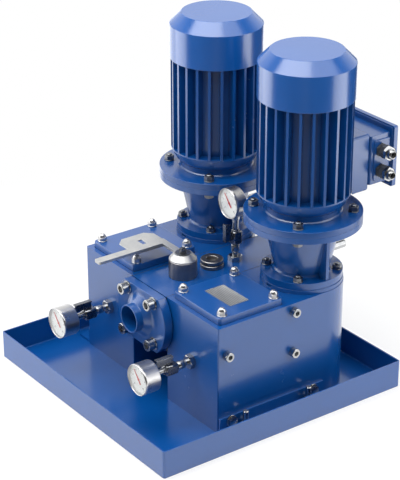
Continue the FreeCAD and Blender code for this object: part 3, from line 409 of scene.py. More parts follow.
@dataclass(frozen=True)
class Window:
    """Thin clear window: mostly seen through, with a faint film of dust."""

    name: str
    slot: str
    colour: Colour = (0.96, 0.97, 0.97)

    def build(self) -> bpy.types.Material:
        """Make the material as a mix of a clear and a glossy shader.

        Returns:
            The material.
        """
        recipe = Recipe(self.name)
        recipe.set(Base_Color=self.colour, Metallic=1.0)
        recipe.set(Roughness=0.04 + 0.05 * recipe.noise(180.0, 3.0))
        clear = recipe.node("ShaderNodeBsdfTransparent", inputs={"Color": (0.985, 0.99, 0.99)})
        edge = recipe.wire(recipe.node("ShaderNodeLayerWeight", inputs={"Blend": 0.5}), "Facing").power(4.0)
        dust = recipe.spread(recipe.noise(320.0, 4.0, 0.7), 0.52, 0.75, 0.0, 0.03)
        recipe.blend(0.02 + 0.5 * edge + dust, clear, recipe.shader)
        return recipe.material


@dataclass(frozen=True)
class Engraved:
    """Satin sheet with fine ruled lines cut across it."""

    name: str
    slot: str
    colour: Colour
    period: float = 0.0047

    def build(self) -> bpy.types.Material:
        """Make the material: ruled lines that darken and sink the surface, over a clouded satin grain.

        Returns:
            The material.
        """
        recipe = Recipe(self.name)
        cloud = recipe.noise(60.0, 3.0)
        inputs = {"Vector": recipe.place, "Scale": math.tau / (WAVE_RATE * self.period), "Distortion": 0.0}
        wave = recipe.node("ShaderNodeTexWave", {"wave_type": "BANDS", "bands_direction": "Y"}, inputs)
        line = recipe.spread(recipe.wire(wave, "Fac"), 0.05, 0.35, 1.0, 0.0)
        ground = recipe.mix(cloud, shade(self.colour, 0.88), shade(self.colour, 1.12))
        recipe.set(Base_Color=recipe.mix(0.85 * line, ground, shade(self.colour, 0.25)), Metallic=0.7)
        recipe.set(Roughness=0.42 + 0.12 * cloud + 0.10 * line)
        recipe.bump(1.0 - line, 0.00004, 0.5)
        return recipe.material


Finish = Paint | Metal | Moulding | Window | Engraved

BLUE = (0.001, 0.066, 0.270)
PAINT_CAST = Paint("blue_paint_on_casting", "paint_blue", BLUE, 0.25, cast=0.2)
PAINT_MACHINED = Paint("blue_paint_on_machined_steel", "paint_blue", BLUE, 0.30, cast=0.1)
PAINT_SHEET = Paint("blue_paint_on_sheet", "paint_blue", shade(BLUE, 1.04), 0.22)
PAINT_COWL = Paint("blue_paint_on_cowl", "motor_paint", (0.001, 0.076, 0.315), 0.24, coat=0.35,
                   brush=(0.15, 1.0, 1.0))
PAINT_MOTOR = Paint("blue_motor_paint", "motor_paint", (0.001, 0.058, 0.240), 0.25)
ZINC = Metal("zinc_plated_steel", "steel_bright", (0.52, 0.52, 0.52), (0.40, 0.42, 0.44), 0.24,
             (1.0, 1.0, 0.2))
DULLED = Metal("dulled_steel", "steel_plain", (0.26, 0.27, 0.29), (0.18, 0.19, 0.21), 0.30, (1.0, 1.0, 0.2))
POLISHED = Metal("polished_stainless_steel", "steel_polished", (0.70, 0.69, 0.68), (0.60, 0.60, 0.61), 0.30,
                 (1.0, 0.2, 1.0))
BRUSHED = Metal("brushed_stainless_plate", "steel_bright", (0.62, 0.62, 0.61), (0.52, 0.53, 0.54), 0.40,
                (0.05, 1.0, 1.0))
MACHINED = Metal("machined_steel", "steel_plain", (0.48, 0.48, 0.49), (0.40, 0.41, 0.42), 0.34,
                 (1.0, 1.0, 0.1))
CAST_IRON = Metal("machined_cast_iron", "cast_grey", (0.28, 0.28, 0.29), (0.22, 0.22, 0.23), 0.5, pits=1.0)
ALLOY = Metal("plain_alloy", "alloy", (0.72, 0.72, 0.73), (0.64, 0.64, 0.66), 0.38, pits=0.5)
BLACKED = Metal("dark_phosphated_steel", "valve_black", (0.26, 0.25, 0.25), (0.33, 0.32, 0.315), 0.38,
                (1.0, 1.0, 0.2), pits=0.3)
VALVE_STEEL = Metal("gauge_valve_steel", "steel_plain", (0.30, 0.31, 0.33), (0.20, 0.21, 0.23), 0.26)
PLATE_GREY = Engraved("engraved_nameplate", "plate_grey", (0.40, 0.41, 0.42))
SEALING = Moulding("black_sealing_sheet", "gasket_black", (0.018, 0.018, 0.019), 0.62, 700.0)
GLAND_BODY = Moulding("dark_gland_body", "gland_grey", (0.060, 0.064, 0.072), 0.36, 1100.0, 0.00004)
DIAL = Moulding("white_dial", "dial_white", (0.72, 0.72, 0.71), 0.42, 1500.0, 0.00001)
INK = Moulding("dark_dial_print", "dial_white", (0.035, 0.035, 0.04), 0.5, 1500.0, 0.00001)
RED = Moulding("red_pointer", "pointer_red", (0.50, 0.006, 0.006), 0.36, 1500.0, 0.00001)
GLASS = Window("clear_window", "lens_clear")


@cache
def material(finish: Finish) -> bpy.types.Material:
    """Material of a finish, built the first time it is asked for."""
    return finish.build()


# ---- Modelling by operators

def release() -> None:
    """Leave edit mode and deselect everything."""
    if bpy.context.object and bpy.context.object.mode != "OBJECT":
        bpy.ops.object.mode_set(mode="OBJECT")
    bpy.ops.object.select_all(action="DESELECT")


def focus(*objects: Piece) -> None:
    """Select only these objects.

    Args:
        objects: the objects; the first becomes the active one.
    """
    release()
    for obj in objects:
        obj.select_set(True)
    bpy.context.view_layer.objects.active = objects[0]


def editing(obj: Piece, mode: str = "FACE", action: str = "SELECT") -> None:
    """Enter edit mode on one object.

    Args:
        obj: the object.
        mode: what is selected, faces or edges.
        action: whether all of it is selected, or none.
    """
    focus(obj)
    bpy.ops.object.mode_set(mode="EDIT")
    bpy.ops.mesh.select_mode(type=mode)
    bpy.ops.mesh.select_all(action=action)


def finish_mesh(obj: Piece, angle: float = 35.0) -> None:
    """Merge doubles, turn the faces outwards and shade smooth.

    Args:
        obj: the piece.
        angle: edges sharper than this, in degrees, stay sharp.
    """
    editing(obj)
    bpy.ops.mesh.remove_doubles(threshold=MERGE)
    bpy.ops.mesh.normals_make_consistent(inside=False)
    bpy.ops.object.mode_set(mode="OBJECT")
    bpy.ops.object.shade_smooth_by_angle(angle=math.radians(angle))


def apply_modifier(obj: Piece, kind: str, **settings: object) -> None:
    """Add a modifier, set it and apply it.

    Args:
        obj: the piece.
        kind: the modifier's type.
        settings: its attributes.
    """
    focus(obj)
    modifier = obj.modifiers.new(kind.lower(), kind)
    for name, value in settings.items():
        setattr(modifier, name, value)
    bpy.ops.object.modifier_apply(modifier=modifier.name)


def fixed(obj: Piece, matrix: Matrix | None = None) -> Piece:
    """Take up an object's place in its mesh.

    Args:
        obj: the object.
        matrix: the place it is given first, if any.

    Returns:
        The object.
    """
    focus(obj)
    if matrix is not None:
        obj.matrix_world = matrix
    bpy.ops.object.transform_apply(location=True, rotation=True, scale=True)
    return obj


def aimed(axis: Axis) -> Matrix:
    """Rotation that takes +Z to an axis."""
    return UP.rotation_difference(axis.vector).to_matrix().to_4x4()


def settle(obj: Piece, at: Vector, axis: Axis = Axis.UP, spin: float = 0.0) -> Piece:
    """Put a piece made along +Z at the origin in its place, pointed along an axis and spun by degrees."""
    return fixed(obj, Matrix.Translation(at) @ aimed(axis) @ Matrix.Rotation(math.radians(spin), 4, "Z"))


def copy_of(obj: Piece, name: str) -> Piece:
    """Copy a piece with its own mesh.

    Args:
        obj: the piece.
        name: the copy's name.

    Returns:
        The copy.
    """
    twin = obj.copy()
    twin.data = obj.data.copy()
    twin.name = name
    bpy.context.scene.collection.objects.link(twin)
    return twin


def joined(name: str, pieces: Sequence[Piece]) -> Piece:
    """Join pieces into one mesh.

    Args:
        name: name of the joined piece.
        pieces: the pieces.

    Returns:
        The joined piece.
    """
    focus(*pieces)
    if len(pieces) > 1:
        bpy.ops.object.join()
    pieces[0].name = name
    return pieces[0]


def discard(obj: Piece) -> None:
    """Delete a piece that was only a cutter or a model for copies."""
    bpy.data.objects.remove(obj, do_unlink=True)


def turned(name: str, profile: Profile, segments: int = 40, closed: bool = False) -> Piece:
    """Turn a profile about +Z by drawing a ring out from point to point.

    Args:
        name: the piece's name.
        profile: (radius, height) points in metres.
        segments: sides of the ring.
        closed: join the last ring to the first, for a tube; otherwise both ends are capped.

    Returns:
        The piece.
    """
    release()
    radius, height = profile[0]
    bpy.ops.mesh.primitive_circle_add(vertices=segments, radius=radius, location=(0.0, 0.0, height))
    obj = fixed(bpy.context.object)
    obj.name = name
    editing(obj, "EDGE")
    for step_radius, step_height in profile[1:]:
        bpy.ops.mesh.extrude_region_move(TRANSFORM_OT_translate={"value": (0.0, 0.0, step_height - height)})
        share = step_radius / radius
        bpy.ops.transform.resize(value=(share, share, 1.0), center_override=(0.0, 0.0, step_height))
        radius, height = step_radius, step_height
    bpy.ops.mesh.select_all(action="DESELECT")
    bpy.ops.mesh.select_non_manifold(extend=False)
    if closed:
        bpy.ops.mesh.bridge_edge_loops()
    else:
        bpy.ops.mesh.fill_holes(sides=0)
    finish_mesh(obj)
    return obj


def hexagon(name: str, flats: float, height: float, chamfer: float = 0.10, both: bool = False) -> Piece:
    """Model a hexagonal nut or head with its corners cut by a cone.

    Args:
        name: the piece's name.
        flats: width across flats.
        height: height along +Z.
        chamfer: how far the cone reaches down, as a share of the width.
        both: cut both ends.

    Returns:
        The piece.
    """
    corner = flats / math.sqrt(3.0)
    release()
    bpy.ops.mesh.primitive_cylinder_add(vertices=6, radius=corner, depth=height, location=height / 2 * UP)
    obj = lifted(fixed(bpy.context.object), 0.0, 30.0)
    obj.name = name
    drop = flats * chamfer * CONE_SLOPE
    lift = drop if both else 0.0
    flat, wide = flats * CONE_FLAT, corner * 1.02
    cone = [(flat if both else wide, 0.0), (wide, lift + 1e-5), (wide, height - drop), (flat, height)]
    cutter = turned("cutter", cone, 36)
    apply_modifier(obj, "BOOLEAN", operation="INTERSECT", object=cutter, solver="EXACT")
    discard(cutter)
    finish_mesh(obj, 28.0)
    return obj


def block(name: str, low: Place, high: Place, bevel: float, segments: int = 1) -> Piece:
    """Model a block between two corners with all its edges rounded.

    Args:
        name: the piece's name.
        low: its lowest corner.
        high: its highest corner.
        bevel: width of the rounding.
        segments: faces across the rounding.

    Returns:
        The piece.
    """
    release()
    bpy.ops.mesh.primitive_cube_add(size=1.0)
    obj = bpy.context.object
    obj.name = name
    obj.location = (Vector(low) + Vector(high)) / 2
    obj.scale = Vector(high) - Vector(low)
    editing(fixed(obj), "EDGE")
    bpy.ops.mesh.bevel(offset=bevel, segments=segments, affect="EDGES", clamp_overlap=True)
    bpy.ops.object.mode_set(mode="OBJECT")
    bpy.ops.object.shade_smooth_by_angle(angle=SMOOTH_ANGLE)
    return obj


def carved(obj: Piece, cutter: Piece) -> Piece:
    """Cut one piece out of another and delete the cutter.

    Args:
        obj: the piece that is cut.
        cutter: the piece that is cut out of it.

    Returns:
        The cut piece.
    """
    apply_modifier(obj, "BOOLEAN", operation="DIFFERENCE", object=cutter, solver="EXACT")
    discard(cutter)
    finish_mesh(obj, 30.0)
    return obj


def planted(name: str, model: Piece, places: Sequence[Place], axis: Axis = Axis.UP) -> Piece:
    """Copy a model to each place, join the copies and delete the model.

    Args:
        name: name of the joined piece.
        model: the piece made along +Z at the origin.
        places: where each copy's foot goes.
        axis: the way the copies point.

    Returns:
        The joined piece.
    """
    copies = [settle(copy_of(model, f"{name}_{index}"), Vector(at), axis) for index, at in enumerate(places)]
    discard(model)
    return joined(name, copies)


def dome(radius: float, height: float, foot: float, steps: int = 9) -> list[Span]:
    """Profile of a dome from its foot nearly to its top."""
    angles = [math.radians(88.0 * step / steps) for step in range(steps + 1)]
    return [(radius * math.cos(angle), foot + height * math.sin(angle)) for angle in angles]


def corners(half: float) -> list[Span]:
    """Four corners of a square about the origin."""
    return [(first, second) for first in (-half, half) for second in (-half, half)]


def at_pumps(places: Sequence[Place]) -> list[Place]:
    """Places beside one pump's axis, repeated for both pumps."""
    return [(side.value * PUMP_X + across, y, z) for side in Side for across, y, z in places]


def barrel(radius: float, foot: float, top: float, soft: float) -> list[Span]:
    """Profile of a cylinder with softened rims."""
    return [(radius - soft, foot), (radius, foot + soft), (radius, top - soft), (radius - soft, top)]


def washer(radius: float, height: float, foot: float = 0.0) -> Piece:
    """Flat washer with softened rims on its seat."""
    return turned("washer", barrel(radius, foot, foot + height, 0.0004))


def lifted(obj: Piece, height: float, spin: float = 0.0) -> Piece:
    """Raise a piece and turn it about the vertical."""
    return settle(obj, height * UP, Axis.UP, spin)


def refined(node: str, width: float, segments: int = 2) -> Piece:
    """Copy a CAD node's mesh, merge it and round its sharp edges; the copy stands for the node.

    Args:
        node: the CAD node.
        width: width of the rounding in metres.
        segments: faces across the rounding.

    Returns:
        The piece.
    """
    piece = bpy.data.objects.new(node + "_dressed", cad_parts[node].data.copy())
    bpy.context.scene.collection.objects.link(piece)
    editing(piece, "EDGE")
    bpy.ops.mesh.remove_doubles(threshold=2 * MERGE)
    bpy.ops.mesh.dissolve_limited(angle_limit=math.radians(0.6))
    bpy.ops.mesh.select_all(action="DESELECT")
    bpy.ops.mesh.edges_select_sharp(sharpness=SHARP_ANGLE)
    bpy.ops.mesh.bevel(offset=width, offset_type="OFFSET", segments=segments, affect="EDGES",
                       clamp_overlap=True, miter_outer="SHARP")
    bpy.ops.object.mode_set(mode="OBJECT")
    bpy.ops.object.shade_smooth_by_angle(angle=SMOOTH_ANGLE)
    apply_modifier(piece, "WEIGHTED_NORMAL", keep_sharp=True, weight=100)
    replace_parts(piece, node)
    return piece


def wear(piece: Piece, finish: Finish, body: str = "station") -> Piece:
    """Give a piece its only material and its body.

    Args:
        piece: the piece.
        finish: its finish.
        body: the body it rides on.

    Returns:
        The piece.
    """
    piece.data.materials.clear()
    piece.data.materials.append(material(finish))
    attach(piece, body)
    LOG.info("piece %s: %d faces", piece.name, len(piece.data.polygons))
    return piece


def dress_node(node: str, finish: Finish) -> None:
    """Smooth a shown CAD node with modifiers and give it a finish.

    Args:
        node: the CAD node.
        finish: its finish.
    """
    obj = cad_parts[node]
    weld = obj.modifiers.new("weld", "WELD")
    weld.merge_threshold = MERGE
    split = obj.modifiers.new("split", "EDGE_SPLIT")
    split.split_angle = math.radians(32.0)
    obj.data.materials.clear()
    obj.data.materials.append(material(finish))
    for polygon in obj.data.polygons:
        polygon.use_smooth = True
    LOG.info("node %s finished", node)


# ---- Studio

@dataclass(frozen=True)
class Lamp:
    """Soft rectangular lamp, placed along the camera's right and away and upwards, in metres and watts."""

    name: str
    right: float
    away: float
    height: float
    size: Span
    watts: float
    aim_right: float = 0.0
    aim_height: float = 0.30


LAMPS = (
    Lamp("left_lamp", -1.25, 0.32, 0.80, (0.9, 1.6), 9.3, aim_height=0.80),
    Lamp("right_lamp", 1.35, -0.25, 0.77, (0.9, 1.5), 8.2, aim_height=0.77),
    Lamp("back_lamp", 0.0, 1.5, 2.3, (2.4, 1.0), 16.0),
    Lamp("key_lamp", -1.35, -0.6, 3.0, (3.6, 2.0), 112.0, aim_right=-1.35),
    Lamp("fill_lamp", 1.9, -0.7, 3.0, (2.8, 1.9), 34.0, aim_right=1.9),
)


@dataclass
class Studio:
    """Pale floor, soft lamps, white surround and the camera at the photograph's angle."""

    azimuth: float = 53.7439
    elevation: float = 25.2761
    eye: Vector = field(default_factory=lambda: Vector((2.6438449, -1.9338293, 1.8553312)))
    focal_pixels: float = 1754.0665
    sensor: float = 36.0
    sky: float = 0.32
    front_sky: float = 0.07
    wall: float = 1.0
    floor_dark: float = 0.03
    floor_bright: float = 1.25
    floor_size: float = 24.0
    floor_mirrored: float = 0.95
    wall_starts: Span = (0.1, 0.6)
    wall_fades: Span = (0.45, 0.8)
    shadow_seen: float = 0.38
    shadow_fades: Span = (0.42, 1.0)
    band_fades: Span = (0.50, 0.95)
    middle: Span = (-0.1, 0.1)
    side_starts: Span = (0.85, 1.10)
    left_starts: Span = (-0.5, 0.4)
    right_starts: Span = (-1.1, -0.5)
    right_fades: Span = (0.2, 0.5)
    back_share: float = 1.5
    back_starts: Span = (0.6, 1.0)
    back_fades: Span = (0.9, 1.1)
    front_share: float = 0.10
    front_fades: Span = (-1.2, -0.9)
    front_width: Span = (0.15, 0.45)

    @property
    def right(self) -> Vector:
        """The camera's right, level with the floor."""
        return Vector((math.cos(math.radians(self.azimuth)), math.sin(math.radians(self.azimuth)), 0.0))

    @property
    def away(self) -> Vector:
        """Level direction from the camera to the object."""
        return Vector((-self.right.y, self.right.x, 0.0))

    def floor_light(self, across: Wire, along: Wire) -> Wire:
        """Brightness of the floor in mirrors: a band under the object, both sides, the back and the front.

        Args:
            across: distance to the camera's right of the origin.
            along: distance away from the camera.

        Returns:
            The brightness.
        """
        band = 1.0 - along.size().held(*self.band_fades)
        aside = across.size().held(*self.side_starts)
        on_right = across.held(*self.middle)
        left = along.held(*self.left_starts) * (1.0 - on_right)
        right = along.held(*self.right_starts) * (1.0 - along.held(*self.right_fades)) * on_right
        behind = self.back_share * along.held(*self.back_starts) * (1.0 - across.held(*self.back_fades))
        before = (1.0 - along.held(*self.front_fades)) * (1.0 - across.size().held(*self.front_width))
        share = (band * (1.0 - aside)).larger(aside * (left + right)).larger(behind)
        return self.floor_dark + self.floor_bright * share + self.front_share * before

    def build_floor(self) -> None:
        """Lay a wide pale floor that reads as white to the camera and keeps the object's shadow."""
        release()
        bpy.ops.mesh.primitive_plane_add(size=self.floor_size, location=(0.0, 0.0, -0.0002))
        floor = bpy.context.object
        floor.name = "studio_floor"
        recipe = Recipe("pale_floor")
        recipe.set(Base_Color=(0.90, 0.90, 0.90), Roughness=0.9, Specular_IOR_Level=0.1)
        path = recipe.node("ShaderNodeLightPath")
        seen, mirror = recipe.wire(path, "Is Camera Ray"), recipe.wire(path, "Is Glossy Ray")
        across, along = recipe.along(recipe.place, self.right), recipe.along(recipe.place, self.away)
        strength = seen + mirror * self.floor_light(across, along)
        glow = recipe.node("ShaderNodeEmission", inputs={"Color": (1.0, 1.0, 1.0), "Strength": strength})
        far = along.size().larger(across.size()).held(*self.shadow_fades)
        lit = seen * (1.0 - self.shadow_seen + self.shadow_seen * far)
        recipe.blend(lit + self.floor_mirrored * mirror, recipe.shader, glow)
        floor.data.materials.append(recipe.material)

    def build_world(self) -> None:
        """White to the camera, mirrors and windows; a soft sky for everything else."""
        world = bpy.data.worlds.new("studio_world")
        bpy.context.scene.world = world
        world.use_nodes = True
        tree = Tree(world.node_tree)
        output = tree.node("ShaderNodeOutputWorld")
        path = tree.node("ShaderNodeLightPath")
        seen = tree.wire(path, "Is Camera Ray") + tree.wire(path, "Is Transmission Ray")
        mirror = tree.wire(path, "Is Glossy Ray")
        direction = tree.wire(tree.node("ShaderNodeTexCoord"), "Generated")
        back = tree.along(direction, self.away).held(*self.wall_starts)
        low = 1.0 - tree.along(direction, UP).held(*self.wall_fades)
        sky = self.sky + (1.0 - self.sky) * seen
        strength = sky + mirror * (self.wall * back * low + self.front_sky - self.sky)
        light = {"Color": (1.0, 1.0, 1.0), "Strength": strength}
        background = tree.node("ShaderNodeBackground", inputs=light)
        tree.link(background.outputs[0], output.inputs["Surface"])

    def build_lamps(self) -> None:
        """Hang tall soft lamps at both sides of the view, two wide ones over it and one over the back."""
        for lamp in LAMPS:
            data = bpy.data.lights.new(lamp.name, "AREA")
            data.shape = "RECTANGLE"
            data.size, data.size_y = lamp.size
            data.energy = lamp.watts
            hung = bpy.data.objects.new(lamp.name, data)
            bpy.context.scene.collection.objects.link(hung)
            hung.location = lamp.right * self.right + lamp.away * self.away + lamp.height * UP
            aim = lamp.aim_right * self.right + lamp.aim_height * UP
            hung.rotation_euler = (hung.location - aim).to_track_quat("Z", "Y").to_euler()

    def build_camera(self) -> None:
        """Stand the camera where the photograph was taken."""
        elevation = math.radians(self.elevation)
        back = -math.cos(elevation) * self.away + math.sin(elevation) * UP
        rotation = Matrix((self.right, back.cross(self.right), back)).transposed()
        data = bpy.data.cameras.new("photo_camera")
        data.sensor_width = self.sensor
        data.sensor_fit = "AUTO"
        data.lens = self.focal_pixels * self.sensor / max(PHOTO_WIDTH, PHOTO_HEIGHT)
        data.clip_end = 60.0
        camera = bpy.data.objects.new("photo_camera", data)
        bpy.context.scene.collection.objects.link(camera)
        camera.matrix_world = Matrix.Translation(self.eye) @ rotation.to_4x4()
        bpy.context.scene.camera = camera

    def build(self) -> None:
        """Build the whole studio and set the plain view transform."""
        self.build_floor()
        self.build_world()
        self.build_lamps()
        self.build_camera()
        bpy.context.scene.view_settings.view_transform = "Standard"
        LOG.info("studio ready")


# ---- The station

@dataclass
class Castings:
    """Housings, block, covers and lanterns as refined copies of their CAD nodes."""

    edge: float = 0.0008

    def build(self) -> None:
        """Refine and paint each casting."""
        for side in Side:
            word = side.word
            wear(refined("housing_" + word, 0.0009), PAINT_CAST)
            wear(refined("strainer_cover_" + word, 0.0010, 1), PAINT_MACHINED)
            wear(refined("lantern_" + word, self.edge), PAINT_CAST)
        wear(refined("middle_block", self.edge), PAINT_CAST)
        wear(refined("bearing_covers", 0.0004), PAINT_MACHINED)
        for name in ("suction_flange", "discharge_flange"):
            wear(refined(name, self.edge), PAINT_MACHINED)


@dataclass
class Motors:
    """Motor shields, finned frames, cowls and terminal boxes with their lids and glands."""

    edge: float = 0.0008
    lid_back: float = 0.339
    lid_low: float = 0.4215
    lid_width: float = 0.1465
    lid_height: float = 0.132
    lid_inset: float = 0.010
    lid_screw: float = 0.0048
    lid_screw_height: float = 0.0022
    gland_x: float = 0.0665
    gland_y: float = 0.3025
    gland_z: Span = (0.4625, 0.5075)
    gland_flats: float = 0.027
    gland_mouth: float = 0.0065

    def build(self) -> None:
        """Refine and paint each motor part, then model what is fixed to the boxes."""
        for side in Side:
            word = side.word
            wear(refined("motor_shield_" + word, self.edge), PAINT_MOTOR)
            wear(refined("motor_frame_" + word, self.edge), PAINT_MOTOR)
            wear(refined("fan_cowl_" + word, 0.0012, 3), PAINT_COWL)
            wear(refined("terminal_box_" + word, 0.0015), PAINT_MOTOR)
        wear(refined("terminal_lids", 0.0015), PAINT_MOTOR)
        self.build_lid_screws()
        self.build_glands()

    def build_lid_screws(self) -> None:
        """Sink a socket screw in each corner of both lids."""
        radius, height = self.lid_screw, self.lid_screw_height
        head = turned("lid_screw_model", barrel(radius, 0.0, height, 0.0005), 24)
        head = carved(head, lifted(hexagon("socket", radius, 0.004), 0.0008))
        half, top = self.lid_width / 2 - self.lid_inset, self.lid_height - self.lid_inset
        places = at_pumps([(across, self.lid_back - height, self.lid_low + rise)
                           for across in (-half, half) for rise in (self.lid_inset, top)])
        wear(planted("terminal_lid_screws", head, places, Axis.BACK), ZINC)

    def bored(self, part: Piece) -> Piece:
        """Cut the cable's way through one part of a gland."""
        return carved(part, turned("bore", [(self.gland_mouth, -0.001), (self.gland_mouth, 0.040)], 36))

    def build_glands(self) -> None:
        """Model a gland's dark hexagons, bright clamp and black seal, and copy each to the four holes."""
        flats, mouth = self.gland_flats, self.gland_mouth
        foot = hexagon("foot", flats, 0.006, 0.06)
        body = lifted(hexagon("body", flats * 0.93, 0.0115, 0.08, both=True), 0.0075, 30.0)
        waist = turned("waist", barrel(flats * 0.44, 0.004, 0.020, 0.0003), 32)
        dark = joined("gland_model", [self.bored(part) for part in (foot, body, waist)])
        nut = lifted(hexagon("nut", flats, 0.009, 0.12, both=True), 0.0190)
        cone = [(mouth, 0.0275), (mouth * 1.70, 0.0275), (mouth * 1.70, 0.0300), (mouth * 1.60, 0.0330),
                (mouth * 1.40, 0.0356), (mouth * 1.15, 0.0370), (mouth, 0.0366)]
        bright = joined("clamp_model", [self.bored(nut), turned("ring", cone, 36, closed=True)])
        lip = [(mouth * 0.62, 0.010), (mouth, 0.010), (mouth, 0.0345), (mouth * 0.62, 0.0335)]
        sleeve = turned("sleeve_model", lip, 32, closed=True)
        places = at_pumps([(self.gland_x, self.gland_y, height) for height in self.gland_z])
        for name, model, finish in (("gland_bodies", dark, GLAND_BODY), ("gland_clamps", bright, ZINC),
                                    ("gland_seals", sleeve, SEALING)):
            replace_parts(wear(planted(name, model, places, Axis.RIGHT), finish), "cable_glands")


@dataclass
class Tray:
    """Welded sheet tray and the rails on it, with their bolts."""

    edge: float = 0.0005
    rail_face: float = 0.240
    bolt_ys: Span = (-0.0935, 0.118)
    bolt_z: float = 0.0265
    stud_x: float = 0.252
    stud_ys: Span = (-0.066, 0.097)
    floor: float = 0.003
    foot: float = 0.005
    washer: float = 0.012
    washer_height: float = 0.0025
    seat: float = 0.0024
    flats: float = 0.018
    stud: float = 0.006
    stud_height: float = 0.042

    def build(self) -> None:
        """Refine and paint the tray and rails, then model their fasteners."""
        wear(refined("drip_tray", self.edge), PAINT_SHEET)
        wear(refined("mounting_rails", 0.0018, 1), PAINT_SHEET)
        self.build_bolts()
        self.build_studs()

    def build_bolts(self) -> None:
        """Washer and hexagon head of the bolts through each rail's upright leg."""
        for side in Side:
            ring = washer(self.washer, self.washer_height)
            head = lifted(hexagon("head", self.flats, 0.0075), self.seat)
            places = [(side.value * self.rail_face, y, self.bolt_z) for y in self.bolt_ys]
            piece = planted("rail_bolts_" + side.word, joined("bolt_model", [ring, head]), places, side.axis)
            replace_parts(wear(piece, ZINC), "rail_fasteners")

    def build_studs(self) -> None:
        """Studs in the tray floor with their nuts and washers."""
        top = self.stud_height
        post = turned("post", [(self.stud, 0.0), (self.stud, top - 0.0012), (self.stud - 0.0012, top)], 28)
        ring = washer(self.washer, self.washer_height, self.foot)
        nut = lifted(hexagon("nut", self.flats, 0.010, both=True), self.foot + self.seat)
        places = [(side.value * self.stud_x, y, self.floor) for side in Side for y in self.stud_ys]
        piece = planted("tray_studs", joined("stud_model", [post, ring, nut]), places)
        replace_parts(wear(piece, ZINC), "rail_fasteners")


